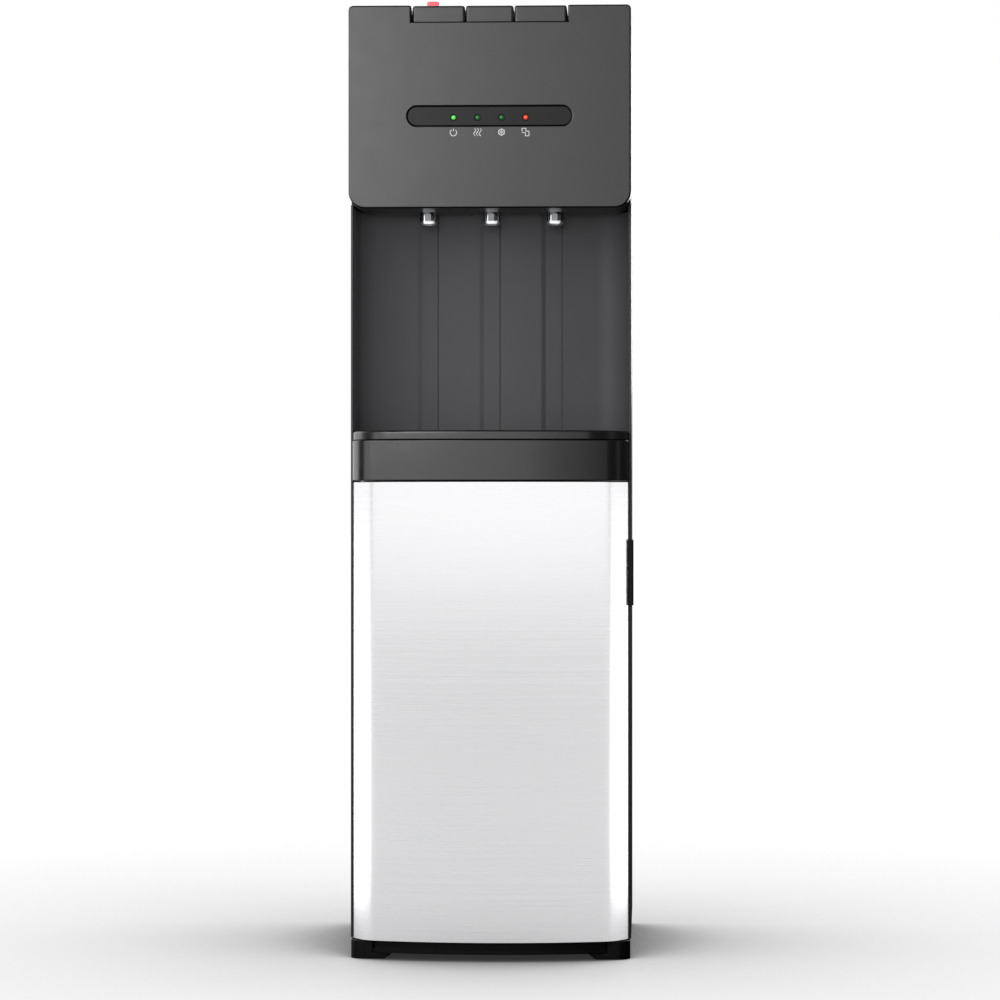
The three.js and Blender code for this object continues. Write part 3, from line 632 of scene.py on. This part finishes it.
def fascia():
    """Front moulding: a plate with the button notch and the strip's slot, and deep returns."""
    x0, x1 = FASCIA_LOW.x, FASCIA_HIGH.x
    z0, z1 = FASCIA_LOW.z - FASCIA_DROP, FASCIA_HIGH.z
    low, high, small = 18 * MM, 5 * MM, 2.1 * MM

    def sides(shrink):
        """From the lower left corner round to the upper right one."""
        return (arc(x0 + low, z0 + low, low - shrink, math.pi, 1.5 * math.pi, 12)
                + arc(x1 - low, z0 + low, low - shrink, -HALF_PI, 0, 12)
                + arc(x1 - high, z1 - high, high - shrink, 0, HALF_PI, 8))

    def upper_left(shrink):
        return arc(x0 + high, z1 - high, high - shrink, HALF_PI, math.pi, 8)

    outline = sides(0) + arc(NOTCH_HALF + small, z1 - small, small, HALF_PI, math.pi, 5)
    outline += [(NOTCH_HALF, NOTCH_FLOOR), (-NOTCH_HALF, NOTCH_FLOOR)]
    outline += arc(-NOTCH_HALF - small, z1 - small, small, 0, HALF_PI, 5) + upper_left(0)
    front = FASCIA_LOW.y
    face = edge_sections(front, front + FASCIA_WALL, 2.0 * MM, 0.2 * MM, 7)
    panel = plate("fascia_moulding", outline, [pill()], face, from_front, LOOKS["charcoal_plastic"])
    wall = FASCIA_WALL - 0.4 * MM
    edge = 0.05 * MM
    end = NOTCH_HALF + 2 * MM
    outer = sides(edge) + [(end, z1 - edge), (end, z1 - wall)]
    tail = [(-end, z1 - wall), (-end, z1 - edge)]
    ring = outer + sides(wall)[::-1] + upper_left(wall)[::-1] + tail + upper_left(edge)
    back = FASCIA_HIGH.y
    depth = edge_sections(front + 1.8 * MM, back, 0.0, 0.6 * MM, 3)
    returns = shell("returns", [stack(ring, depth, from_front)], [[(0, 0)], [(0, 1)]],
                    LOOKS["charcoal_plastic"])
    fuse(panel, returns)
    # Painted shade: the rounded rim faces at the front of the panel take black plastic, so its edges read
    # as a dark outline.
    panel.data.materials.append(LOOKS["black_plastic"])
    for face in panel.data.polygons:
        if face.normal.y > -0.975 and face.normal.x > -0.3 and face.center.y < front + 2.4 * MM:
            face.material_index = 1
    for side in (-1, 1):
        u0, u1 = sorted((side * NOTCH_HALF, side * (NOTCH_HALF + 1.2 * MM)))
        edge = rounded_rect(front + 1.4 * MM, CHEEK_BACK, NOTCH_FLOOR - 2 * MM, z1 - 0.4 * MM,
                            1 * MM, steps=4)
        cheek = plate(f"notch_cheek_{SIDE_NAMES[side]}", edge, [], [(0, u0), (0, u1)],
                      from_side, LOOKS["black_plastic"])
        detail(cheek, body_with("fascia"), "black_plastic")
    return stands_for(panel, "fascia")


def head_corners():
    """Square lower corners of the head's tray, behind the rounded corners of the fascia."""
    low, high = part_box("head_shell")
    for side in (-1, 1):
        u0, u1 = sorted((side * (high.x - 7 * MM), side * high.x))
        outline = rounded_rect(u0, u1, low.z, low.z + 18 * MM, 1.2 * MM, steps=4)
        piece = plate(f"head_corner_{SIDE_NAMES[side]}", outline, [],
                      [(0, low.y), (0, low.y + 44 * MM)], from_front, LOOKS["black_plastic"])
        detail(piece, body_with("head_shell"), "black_plastic")


def strip_window():
    """Smoked window, set back in its slot, with a countersunk hole for each lamp."""
    front = STRIP_LOW.y
    holes = []
    for name in LAMPS:
        middle = LED_MIDDLES[name]
        holes.append(arc(middle.x, middle.z, 3.15 * MM, 0, 2 * math.pi * 31 / 32, 31))
    sections = edge_sections(front, front + 2.6 * MM, 0.5 * MM, 0.1 * MM, 3)
    window = plate("smoked_window", pill(-0.3 * MM), holes, sections, from_front, LOOKS["strip_window"])
    for name in LAMPS:
        middle = LED_MIDDLES[name]
        profile = [(3.1, 0.6), (3.2, -0.1), (3.55, -0.2), (3.9, 0.05), (3.8, 0.5)]
        bezel = turned(f"bezel_{name}", [(r * MM, front + h * MM) for r, h in profile],
                       middle.x, middle.z, LOOKS["black_plastic"], from_front, 40)
        detail(bezel, body_with("fascia"), "black_plastic")
    return stands_for(window, "indicator_window")


def lamps():
    for name in LAMPS:
        node = f"led_{name}"
        low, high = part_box(node)
        x, z = LED_MIDDLES[name].x, LED_MIDDLES[name].z
        radius = 2.85 * MM
        dome = [(radius * math.cos(a), low.y + radius * 0.8 * (1 - math.sin(a)))
                for a in (HALF_PI * 0.97 * i / 8 for i in range(9))]
        profile = [(radius * 0.03, low.y)] + dome[::-1] + [(radius, high.y - 1.5 * MM),
                                                          (3.2 * MM, high.y - 1.4 * MM),
                                                          (3.2 * MM, high.y), (0.1 * MM, high.y)]
        look = LOOKS[SLOT_OF[node]] if name != "cooling" else lamp_material(name)
        stands_for(turned(f"lamp_{name}", profile, x, z, look, from_front, 32), node)


def symbols():
    """A printed symbol under each lamp: power, heat, cold and change of bottle."""
    drop = 16.3 * MM
    size = 4.1 * MM
    width = 0.95 * MM
    drawn = {}
    ring = arc(0, -0.08, 0.86, math.radians(125), math.radians(415), 26)
    drawn["power"] = [(ring, False), ([(0, 0.25), (0, 1.0)], False)]
    waves = []
    for shift in (-0.72, 0, 0.72):
        wave = [(shift + 0.26 * math.sin(t * 2.2 * math.pi), 1.0 - 2.0 * t)
                for t in (i / 16 for i in range(17))]
        waves.append((wave, False))
    drawn["heating"] = waves
    flake = [(arc(0, 0, 0.88, math.radians(30), math.radians(330), 5), True)]
    for i in range(3):
        angle = math.radians(90 + 60 * i)
        tip = (0.66 * math.cos(angle), 0.66 * math.sin(angle))
        flake.append(([tip, (-tip[0], -tip[1])], False))
    drawn["cooling"] = flake
    big = rounded_rect(-0.95, 0.1, -0.15, 1.0, 0.18, steps=3)
    small = rounded_rect(-0.05, 0.9, -1.0, 0.25, 0.18, steps=3)
    drawn["bottle_empty"] = [(big, True), (small, True)]
    front = FASCIA_LOW.y - 0.12 * MM
    for name, paths in drawn.items():
        middle = LED_MIDDLES[name]
        placed = [([(middle.x + size * u, middle.z - drop + size * v) for u, v in path], closed)
                  for path, closed in paths]
        mark = stroke(f"symbol_{name}", placed, width, front, 0.2 * MM, PRINT_WHITE)
        detail(mark, body_with("fascia"), "white_plastic")


def button(name):
    """Push button: a cap with rounded rims, open below, that turns on the axle at its back."""
    node = f"button_{name}"
    low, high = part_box(node)
    left = low.x - (0 if name == "hot" else 0.9 * MM)
    right = high.x + (0 if name == "cold" else 0.9 * MM)
    outline = rounded_rect(left, right, low.y, high.y, 2.8 * MM, steps=5)
    wall = 2.2 * MM
    bottom = low.z + 2.5 * MM
    outside = edge_sections(bottom, high.z, 0.2 * MM, 2.6 * MM, 6)
    inside = [(wall, bottom), (wall, high.z - 3.2 * MM)]
    stacks = [stack(outline, outside, in_plan), stack(outline, inside, in_plan)]
    cap_piece = shell(f"button_cap_{name}", stacks, [[(0, 1)], [(1, 1)], [(0, 0), (1, 0)]],
                      look_of(node))
    if name == "hot":
        lock_low, lock_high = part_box("child_lock")
        middle = (lock_low.x + lock_high.x) / 2
        slot = rounded_rect(middle - 3.2 * MM, middle + 3.2 * MM, lock_low.y + 3.4 * MM,
                            lock_low.y + 20 * MM, 1 * MM, steps=3)
        cutter = plate("lock_slot", slot, [], [(0, high.z - 6 * MM), (0, high.z + 2 * MM)],
                       in_plan, look_of(node))
        cut_away(cap_piece, cutter)
    return stands_for(cap_piece, node)


def child_lock():
    """Red slider on the hot button, with three ridges for the fingertip."""
    low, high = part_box("child_lock")
    high = high + Vector((0, 0, 1.4 * MM))
    base = high.z - 6.0 * MM
    outline = rounded_rect(low.x, high.x, low.y, high.y, 1.8 * MM, steps=5)
    rims = edge_sections(base, high.z - 0.5 * MM, 0.2 * MM, 1.4 * MM, 5)
    body = plate("lock_slider", outline, [], rims, in_plan, look_of("child_lock"))
    ridges = []
    for i in (-1, 0, 1):
        y = (low.y + high.y) / 2 + i * 2.6 * MM
        rib = rounded_rect(low.x + 2.2 * MM, high.x - 2.2 * MM, y - 0.7 * MM, y + 0.7 * MM,
                           0.65 * MM, steps=4)
        rims = edge_sections(base + 1 * MM, high.z, 0, 0.5 * MM, 3)
        ridges.append(plate(f"rib_{i + 1}", rib, [], rims, in_plan, look_of("child_lock")))
    x = (low.x + high.x) / 2
    stem = rounded_rect(x - 2.6 * MM, x + 2.6 * MM, low.y + 4.2 * MM, low.y + 9.8 * MM,
                        0.6 * MM, steps=3)
    rims = edge_sections(low.z, base + 1 * MM, 0.3 * MM, 0, 2)
    ridges.append(plate("stem", stem, [], rims, in_plan, look_of("child_lock")))
    fuse(body, *ridges)
    return stands_for(body, "child_lock")


def tap(name):
    """Chrome spout with a flared collar, and a ring at its mouth in a brighter, rougher copy of the chrome:
    a painted highlight.
    """
    node = f"tap_{name}"
    x = centre(node).x
    y = centre(f"push_rod_{name}").y
    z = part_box(node)[0].z - TAP_DROP
    bore = [(0.1, 40), (5.6, 40), (5.6, 3.3)]
    barrel = [(8.2, 3.3), (9.6, 3.4), (10.0, 4.2), (10.0, 15.6), (10.2, 16.4), (11.8, 17.2)]
    collar = [(12.0, 17.8), (12.0, 24.0), (14.5, 24.2), (14.5, 29.0), (11.0, 29.2)]
    valve = [(11.0, 62.0), (6.0, 66.0), (0.1, 66)]
    profile = [(r * MM, z + h * MM) for r, h in bore + barrel + collar + valve]
    spout = turned(f"spout_{name}", profile, x, y, look_of(node), sides=56)
    nipple = [(0.1, 8), (4.0, 8), (4.0, 17), (4.6, 17.4), (3.8, 19.6), (4.6, 20), (3.6, 23.6), (0.1, 24)]
    joint = turned("nipple", [(r * MM, y + h * MM) for r, h in nipple], x, z + 50 * MM,
                   look_of(node), from_front, 24)
    fuse(spout, joint)
    mouth = [(5.65, 3.4), (5.65, 0.5), (6.2, 0.1), (7.1, 0.0)]
    mouth += [(7.9, 0.35), (8.5, 1.1), (8.85, 2.1), (8.95, 3.4)]
    rings = stack(arc(x, y, 1 * MM, 0, 2 * math.pi * 47 / 48, 47),
                  [((1 - r) * MM, z + h * MM) for r, h in mouth + mouth[:1]], in_plan)
    ring = shell(f"spout_mouth_{name}", [rings], [], MOUTH_RING_HIGHLIGHT)
    goes_on(ring, node)
    return [stands_for(spout, node), ring]


# ---- bay, tray and lip ----
CHANNEL_SHIFT = 4.5 * MM
def alcove_liner():
    """Wall and cheeks of the bay. Each tap's channel has a slope on its left and a groove on its right."""
    low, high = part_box("alcove_liner")
    sheet = 2.5 * MM
    face_y = high.y - sheet - 3 * MM
    half = high.x - 1.3 * MM
    corner = 36 * MM
    inside = [(-half, low.y)]
    inside += arc(-half + corner, face_y - corner, corner, math.pi, HALF_PI, 12)
    for name in TAPS:
        x = centre(f"tap_{name}").x - CHANNEL_SHIFT
        deep = face_y + 2.6 * MM
        inside += [(x - 13.4 * MM, face_y), (x - 8.6 * MM, deep), (x + 9.5 * MM, deep)]
        groove = deep + 1.0 * MM
        inside += [(x + 9.6 * MM, groove), (x + 10.7 * MM, groove), (x + 10.8 * MM, face_y)]
    inside += arc(half - corner, face_y - corner, corner, HALF_PI, 0, 12)
    inside += [(half, low.y)]
    wall = 1.2 * MM
    outside = inset(inside, wall)
    outside[0] = (-half - wall, low.y)
    outside[-1] = (half + wall, low.y)
    outline = outside + inside[::-1]
    levels = [(0, low.z), (0, high.z + 0.5 * MM)]
    piece = shell("bay_wall", [stack(outline, levels, in_plan)], [[(0, 0)], [(0, 1)]], BAY_WALL, 18)
    return stands_for(piece, "alcove_liner")


GRILLE_LOW, GRILLE_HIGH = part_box("drip_grille")


def drip_tray():
    """Removable tray: its bowed rim is the front lip of the bay, and the grille lies in its seat."""
    low, high = LIP_LOW, LIP_HIGH
    rim_low = high.z - 10 * MM
    round_back = 38 * MM
    path = bowed_front(high.x, low.y, 700 * MM, 64 * MM, high.y - round_back - 1 * MM, edge=60)
    outline = path + arc(high.x - round_back, high.y - round_back, round_back, 0, HALF_PI, 10)
    outline += arc(low.x + round_back, high.y - round_back, round_back, HALF_PI, math.pi, 10)
    basin = rounded_rect(-126 * MM, 126 * MM, GRILLE_LOW.y - 1.5 * MM, GRILLE_HIGH.y + 1.5 * MM, 6 * MM)
    seat = rounded_rect(GRILLE_LOW.x - 0.5 * MM, GRILLE_HIGH.x + 0.5 * MM, GRILLE_LOW.y - 0.5 * MM,
                        GRILLE_HIGH.y + 0.5 * MM, 4 * MM)
    rim = stack(outline, edge_sections(rim_low, high.z, 1.0 * MM, 2.6 * MM, 6), in_plan)
    floor = low.z + 2.5 * MM
    inner = [(-0.5 * MM, high.z), (0, high.z - 0.5 * MM), (0, GRILLE_LOW.z - 0.4 * MM),
             (1.6 * MM, GRILLE_LOW.z - 0.4 * MM), (1.6 * MM, floor + 3 * MM), (4 * MM, floor)]
    cavity = stack(seat, inner, in_plan)
    underside = [(0, rim_low), (0, low.z + 4 * MM), (1.2 * MM, low.z + 1.2 * MM), (4 * MM, low.z)]
    outside = stack(basin, underside, in_plan)
    caps = [[(0, 1), (1, 0)], [(0, 0), (2, 0)], [(1, 1)], [(2, 1)]]
    piece = shell("tray_and_lip", [rim, cavity, outside], caps, look_of("drip_tray"))
    return stands_for(piece, "drip_tray")


def drip_grille():
    low, high = GRILLE_LOW, GRILLE_HIGH
    outline = rounded_rect(low.x, high.x, low.y, high.y, 3.5 * MM)
    columns, rows = 4, 7
    pitch_x, pitch_y = 58 * MM, 12.6 * MM
    length, width = 24 * MM, 3 * MM
    slots = []
    for i in range(columns):
        for j in range(rows):
            x = (i - (columns - 1) / 2) * pitch_x
            y = (low.y + high.y) / 2 + (j - (rows - 1) / 2) * pitch_y
            slots.append(rounded_rect(x - length, x + length, y - width, y + width,
                                      width - 0.01 * MM, steps=6))
    piece = plate("slotted_grille", outline, slots, edge_sections(low.z, high.z, 0.3 * MM, 0.8 * MM, 3),
                  in_plan, look_of("drip_grille"))
    return stands_for(piece, "drip_grille")


def tray_shelf():
    """Housing under the lip, with a bowed front and the well that the tray drops into."""
    low, high = SHELF_LOW, SHELF_HIGH
    path = bowed_front(high.x, low.y, 620 * MM, 33 * MM, high.y - 8 * MM, edge=68)
    outline = path + [(high.x, high.y), (low.x, high.y)]
    well = rounded_rect(-128 * MM, 128 * MM, GRILLE_LOW.y - 3.5 * MM, GRILLE_HIGH.y + 3.5 * MM, 6 * MM)
    outside = stack(outline, edge_sections(low.z, high.z, 1.2 * MM, 0.8 * MM, 4), in_plan)
    inside = stack(well, [(0, high.z), (0, low.z + 9 * MM), (3 * MM, low.z + 6.8 * MM)], in_plan)
    caps = [[(0, 1), (1, 0)], [(0, 0)], [(1, 1)]]
    return stands_for(shell("tray_housing", [outside, inside], caps, look_of("tray_shelf")), "tray_shelf")


# ---- door ----
DOOR_BOW = 487.5 * MM
DOOR_CORNER = 40 * MM
SKIN = 1.5 * MM


def door_skin():
    """Brushed steel sheet, bent round the bowed front of the door."""
    half = 152.5 * MM
    rear = DOOR_HIGH.y
    outer = bowed_front(half, DOOR_LOW.y, DOOR_BOW, DOOR_CORNER, rear, 48)
    inner = bowed_front(half - SKIN, DOOR_LOW.y + SKIN, DOOR_BOW - SKIN, DOOR_CORNER - SKIN, rear, 48)
    outline = outer + inner[::-1]
    sections = edge_sections(DOOR_LOW.z, DOOR_HIGH.z, 0.45 * MM, 0.45 * MM, 3)
    piece = shell("door_sheet", [stack(outline, sections, in_plan)], [[(0, 0)], [(0, 1)]],
                  look_of("door_skin"), 40)
    return stands_for(piece, "door_skin")


def door_handle():
    """Pull tab: a plate on the back of the door's edge, and a wing beside the side panel."""
    low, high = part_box("door_handle")
    rear = DOOR_HIGH.y + 0.1 * MM
    inner = 154.5 * MM
    outline = [(low.x, rear), (inner, rear)]
    outline += arc(high.x - 1.4 * MM, rear + 1.4 * MM, 1.4 * MM, -HALF_PI, 0, 5)
    outline += arc(high.x - 0.9 * MM, high.y - 0.9 * MM, 0.9 * MM, 0, math.pi, 8)
    outline += [(inner, rear + 2.2 * MM), (low.x, rear + 2.2 * MM)]
    sections = edge_sections(low.z, high.z, 0.7 * MM, 0.7 * MM, 4)
    piece = shell("pull_tab", [stack(outline, sections, in_plan)], [[(0, 0)], [(0, 1)]],
                  look_of("door_handle"))
    return stands_for(piece, "door_handle")


# ---- bottle bay ----
def bay_seal():
    """Soft strip round the foot of the bottle bay, over the joint between the base and the panels."""
    low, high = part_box("side_panel_right")
    side = high.x - 1.1 * MM
    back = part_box("rear_panel")[0].y - 0.2 * MM
    front = low.y + 16 * MM
    foot = low.z - 0.6 * MM
    width = 3.5 * MM
    outline = [(side - width, front), (side, front), (side, back), (-side, back), (-side, front)]
    outline += [(width - side, front), (width - side, back - width), (side - width, back - width)]
    strip = plate("bay_seal", outline, [], [(0, foot), (0, foot + 4 * MM)], in_plan, LOOKS["black_plastic"])
    return detail(strip, body_with("base"), "black_plastic")


# ---- back ----
def condenser():
    """Wire-on-tube condenser: one serpentine tube between two rows of upright wires."""
    low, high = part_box("condenser")
    y = high.y - 3.2 * MM
    reach, bend, rows, pitch = 108 * MM, 17 * MM, 9, 34 * MM
    bottom = 640 * MM
    hole = (60 * MM, 700 * MM)
    route = [(hole[0], low.y, hole[1]), (hole[0], 160 * MM, hole[1])]
    route += [(hole[0], 160 * MM + 15 * MM * math.sin(a), hole[1] - 15 * MM * (1 - math.cos(a)))
              for a in (HALF_PI * i / 6 for i in range(1, 7))]
    route += [(hole[0] + 20 * MM * (1 - math.cos(a)), y, bottom + 20 * MM - 20 * MM * math.sin(a))
              for a in (HALF_PI * i / 6 for i in range(0, 7))]
    for row in range(rows):
        side = 1 if row % 2 == 0 else -1
        z = bottom + row * pitch
        route.append((side * reach, y, z))
        if row < rows - 1:
            for i in range(1, 10):
                angle = -HALF_PI + math.pi * i / 10
                across = side * (reach + bend * math.cos(angle))
                route.append((across, y, z + bend + bend * math.sin(angle)))
            route.append((side * reach, y, z + pitch))
    pipe = tube("condenser_tube", route, 2.4 * MM, look_of("condenser"))
    stands_for(pipe, "condenser")
    top = bottom + (rows - 1) * pitch + 12 * MM
    count = 41
    bm = bmesh.new()
    for i in range(count):
        x = (i / (count - 1) - 0.5) * 2 * (reach - 2 * MM)
        for side in (-1, 1):
            depth = y + side * 3.0 * MM
            rings = [[Vector((x + 0.7 * MM * math.cos(a), depth + 0.7 * MM * math.sin(a), z))
                      for a in (2 * math.pi * k / 8 for k in range(8))] for z in (bottom - 12 * MM, top)]
            first, last = skin_rings(bm, rings)
            cap(bm, first)
            cap(bm, last)
    grid = link("condenser_wires", mesh_of(bm, "condenser_wires"), look_of("condenser"))
    return goes_on(grid, "condenser")


def rear_louvres():
    """Rows of pressed louvres in the rear panel, for the compressor's warm air."""
    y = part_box("rear_panel")[1].y
    relief = ((0, -0.3 * MM), (0.2 * MM, 0.6 * MM), (0.9 * MM, 1.4 * MM), (1.8 * MM, 1.7 * MM))
    bm = bmesh.new()
    for column in (-1, 1):
        for row in range(9):
            z = 512 * MM - row * 11 * MM
            x = column * 62 * MM
            outline = rounded_rect(x - 38 * MM, x + 38 * MM, z - 2.6 * MM, z + 2.6 * MM, 2.5 * MM, steps=5)
            levels = [(amount, y + out) for amount, out in relief]
            first, last = skin_rings(bm, stack(outline, levels, from_front))
            cap(bm, first)
            cap(bm, last)
    piece = link("rear_louvres", mesh_of(bm, "rear_louvres"), look_of("rear_panel"))
    return goes_on(piece, "rear_panel")


# ---- nodes that keep their CAD shape ----
BEVELS = {
    "base": 1.0, "foot_front_left": 0.9, "foot_front_right": 0.9, "foot_rear_left": 0.9,
    "foot_rear_right": 0.9, "side_panel_left": 0.35, "side_panel_right": 0.35, "rear_panel": 0.25,
    "top_cover": 1.6, "head_shell": 0.6, "door_liner": 1.2, "compressor": 1.2,
    "cold_tank": 2.0, "hot_tank": 0.3, "control_box": 1.5, "water_pump": 1.2, "power_inlet": 0.6,
    "switch_block": 0.6, "drain_cap": 1.0, "drain_spout": 0.5, "heat_switch": 0.5, "cool_switch": 0.5,
    "suction_probe": 0.6, "mid_deck": 0.4, "tank_shelf": 0.4,
}
HOSES = ("riser_hose", "feed_hose", "hot_hose", "room_hose", "cold_hose",
         "button_spring_hot", "button_spring_room", "button_spring_cold")


def carried_over():
    for node, piece in frame["nodes"].items():
        piece.data.materials.clear()
        piece.data.materials.append(BAY_WALL if node == "head_shell" else look_of(node))
        if piece.hide_render:
            continue
        if node in HOSES:
            for face in piece.data.polygons:
                face.use_smooth = True
            weld = piece.modifiers.new("weld", "WELD")
            weld.merge_threshold = 1e-5
            round_off = piece.modifiers.new("round", "SUBSURF")
            round_off.levels = 2
            round_off.render_levels = 2
        else:
            soften(node, BEVELS.get(node, 0.3) * MM)


def even_normals():
    """Weights the normals by face area, so a flat face looks flat beside its rounded edges."""
    for piece in bpy.context.scene.objects:
        if piece.type == "MESH" and not piece.hide_render and piece.name not in HOSES:
            even = piece.modifiers.new("even", "WEIGHTED_NORMAL")
            even.keep_sharp = True


# ---- studio ----
# Painted shadow on the floor: how light its glow is, by how much open sky stands over it.
FLOOR_SHADOW_TONES = (
    (0.0, 0.03), (0.30, 0.07), (0.45, 0.15), (0.60, 0.36), (0.67, 0.56),
    (0.75, 0.66), (0.82, 0.76), (0.90, 0.87), (0.96, 0.98), (1.0, 1.03),
)
# Studio panels round the object: bearings in degrees from the front, to the right, then radiance.
PLASTIC_PANELS = (
    ("front_panel", -50, 10, 0.05, 2.6, 1.05),
    ("front_edge", 10, 24, 0.05, 2.6, 0.45),
    ("left_edge", -64, -52, 0.05, 2.6, 1.5),
    ("left_rim", -150, -92, 0.05, 2.2, 1.9),
    ("right_rim", 66, 78, 0.05, 2.2, 0.20),
)
STEEL_PANELS = (
    ("steel_front", -52, 52, 0.37, 2.4, 0.86),
    ("steel_left", -125, -58, 0.02, 1.1, 0.74),
    ("steel_right", 58, 125, 0.02, 1.1, 0.74),
    ("steel_left_rim", -165, -125, 0.0, 1.1, 0.85),
    ("steel_right_rim", 125, 165, 0.0, 1.1, 0.60),
)
CHROME_PANELS = (
    ("chrome_front", -42, 30, 0.05, 2.6, 0.42),
    ("chrome_edge", -60, -46, 0.05, 2.6, 2.2),
    ("chrome_rim", -140, -118, 0.05, 2.2, 0.6),
)
BAY_SOFTBOXES = (
    ("bay_softbox_left", (-1.8, -1.7, 0.7), (1.0, 1.2), 14),
    ("bay_softbox_middle", (0.0, -3.2, 0.75), (0.4, 0.4), 36),
    ("bay_softbox_right", (1.8, -1.7, 0.7), (1.0, 1.2), 24),
)
BOTTLE_BAY = ("rear_panel", "mid_deck", "suction_probe", "riser_hose", "door_liner")
FLOOR_REACH = 90.0
PANEL_DISTANCE = 2.4
STEEL_SIDE_DISTANCE = 0.5


def area_light(name, location, target, size, power):
    lamp = bpy.data.lights.new(name, "AREA")
    lamp.shape = "RECTANGLE"
    lamp.size, lamp.size_y = size
    lamp.energy = power
    item = bpy.data.objects.new(name, lamp)
    item.location = location
    direction = Vector(target) - Vector(location)
    item.rotation_euler = direction.to_track_quat("-Z", "Y").to_euler()
    item.visible_camera = False
    bpy.context.scene.collection.objects.link(item)
    return item


def panel(name, bearings, heights, radiance, receivers, distance=PANEL_DISTANCE):
    """Upright light panel that faces the object."""
    start, stop = (math.radians(b) for b in bearings)
    middle = (start + stop) / 2
    reach = distance * math.cos((stop - start) / 2)
    width = 2 * distance * math.sin((stop - start) / 2)
    low, high = heights
    height = (low + high) / 2
    place = (reach * math.sin(middle), -0.1 - reach * math.cos(middle), height)
    power = radiance * math.pi * width * (high - low)
    item = area_light(name, place, (0, -0.1, height), (width, high - low), power)
    item.light_linking.receiver_collection = receivers


def softbox(name, place, target, size, power, receivers):
    """Shades only the pieces it is linked to, and never shows as a reflection."""
    item = area_light(name, place, target, size, power)
    item.visible_glossy = False
    item.light_linking.receiver_collection = receivers


def world():
    """White backdrop for the camera, and dim surroundings: the light comes from the panels."""
    surroundings = bpy.data.worlds.new("studio")
    bpy.context.scene.world = surroundings
    surroundings.use_nodes = True
    nodes, links = surroundings.node_tree.nodes, surroundings.node_tree.links
    nodes.clear()
    dim = nodes.new("ShaderNodeBackground")
    dim.inputs["Color"].default_value = (0.06, 0.06, 0.061, 1)
    backdrop = nodes.new("ShaderNodeBackground")
    backdrop.inputs["Color"].default_value = (1, 1, 1, 1)
    mix = nodes.new("ShaderNodeMixShader")
    links.new(nodes.new("ShaderNodeLightPath").outputs["Is Camera Ray"], mix.inputs["Fac"])
    links.new(dim.outputs[0], mix.inputs[1])
    links.new(backdrop.outputs[0], mix.inputs[2])
    output = nodes.new("ShaderNodeOutputWorld")
    links.new(mix.outputs[0], output.inputs["Surface"])


def light_group(name, pieces):
    """Pieces that share a set of panels."""
    group = bpy.data.collections.new(name)
    for piece in pieces:
        group.objects.link(piece)
    return group


def studio(door, chrome, bay):
    """Floor, panels and fills. The steel door and the chrome spouts have panels of their own."""
    scene = bpy.context.scene
    others = [item for item in scene.collection.objects
              if item.type in ("MESH", "CURVE") and item != door and item not in chrome]
    rest = light_group("plastic_lit", others)
    metal = light_group("steel_lit", [door])
    bright = light_group("chrome_lit", chrome)
    shiny = light_group("floor_lit", [door, *chrome])
    recess = light_group("bay_lit", [bay])
    ceiling = light_group("head_lit", [frame["nodes"]["head_shell"]])
    world()
    for name, start, stop, low, high, radiance in PLASTIC_PANELS:
        panel(name, (start, stop), (low, high), radiance, rest)
    for name, start, stop, low, high, radiance in STEEL_PANELS:
        distance = PANEL_DISTANCE if name == "steel_front" else STEEL_SIDE_DISTANCE
        panel(name, (start, stop), (low, high), radiance, metal, distance)
    for name, start, stop, low, high, radiance in CHROME_PANELS:
        panel(name, (start, stop), (low, high), radiance, bright)
    head = area_light("head_softbox", (-0.62, -1.15, 1.08), (-0.62, 0, 1.08), (0.75, 0.7), 6.6)
    head.light_linking.receiver_collection = rest
    for name, place, size, power in BAY_SOFTBOXES:
        softbox(name, place, (0, 0, 0.7), size, power, recess)
    softbox("bay_bounce", (0, -0.75, 0.2), (0, -0.1, 0.82), (0.6, 0.4), 5.0, ceiling)
    inside = light_group("bottle_bay_lit", [frame["nodes"][node] for node in BOTTLE_BAY])
    softbox("bottle_bay_fill", (0, -2.2, 0.4), (0, 0, 0.3), (0.8, 0.6), 14.0, inside)
    for name, place, power in (("back_fill", (0.6, 2.6, 1.5), 40), ("right_fill", (2.6, 1.1, 1.2), 25),
                               ("left_fill", (-2.6, 1.1, 1.2), 25), ("top_fill", (0, 0.5, 3.0), 30)):
        fill = area_light(name, place, (0, 0, 0.6), (1.6, 1.6), power)
        fill.visible_glossy = name == "back_fill"
    size = FLOOR_REACH
    mesh = bpy.data.meshes.new("studio_floor")
    corners = [(-size, -size, 0), (size, -size, 0), (size, size, 0), (-size, size, 0)]
    mesh.from_pydata(corners, [], [(0, 1, 2, 3)])
    ground = bpy.data.objects.new("studio_floor", mesh)
    mesh.materials.append(floor_material())
    ground.visible_diffuse = False
    scene.collection.objects.link(ground)
    ground.light_linking.receiver_collection = shiny
    scene.view_settings.view_transform = "Standard"


def camera():
    lens_data = bpy.data.cameras.new("camera")
    lens_data.sensor_width = 36
    lens_data.lens = 115.8
    lens_data.shift_x = -0.037
    lens_data.shift_y = 0.018
    item = bpy.data.objects.new("camera", lens_data)
    item.location = (0.17016, -3.66024, 0.4816)
    item.rotation_euler = (HALF_PI, 0, math.radians(1.94))
    bpy.context.scene.collection.objects.link(item)
    bpy.context.scene.camera = item


camera()
fascia()
head_corners()
strip_window()
lamps()
symbols()
chrome = []
for tap_name in TAPS:
    button(tap_name)
    chrome += tap(tap_name)
child_lock()
bay_wall = alcove_liner()
tray_shelf()
drip_tray()
drip_grille()
door_sheet = door_skin()
door_handle()
bay_seal()
condenser()
rear_louvres()
carried_over()
even_normals()
studio(door_sheet, chrome, bay_wall)
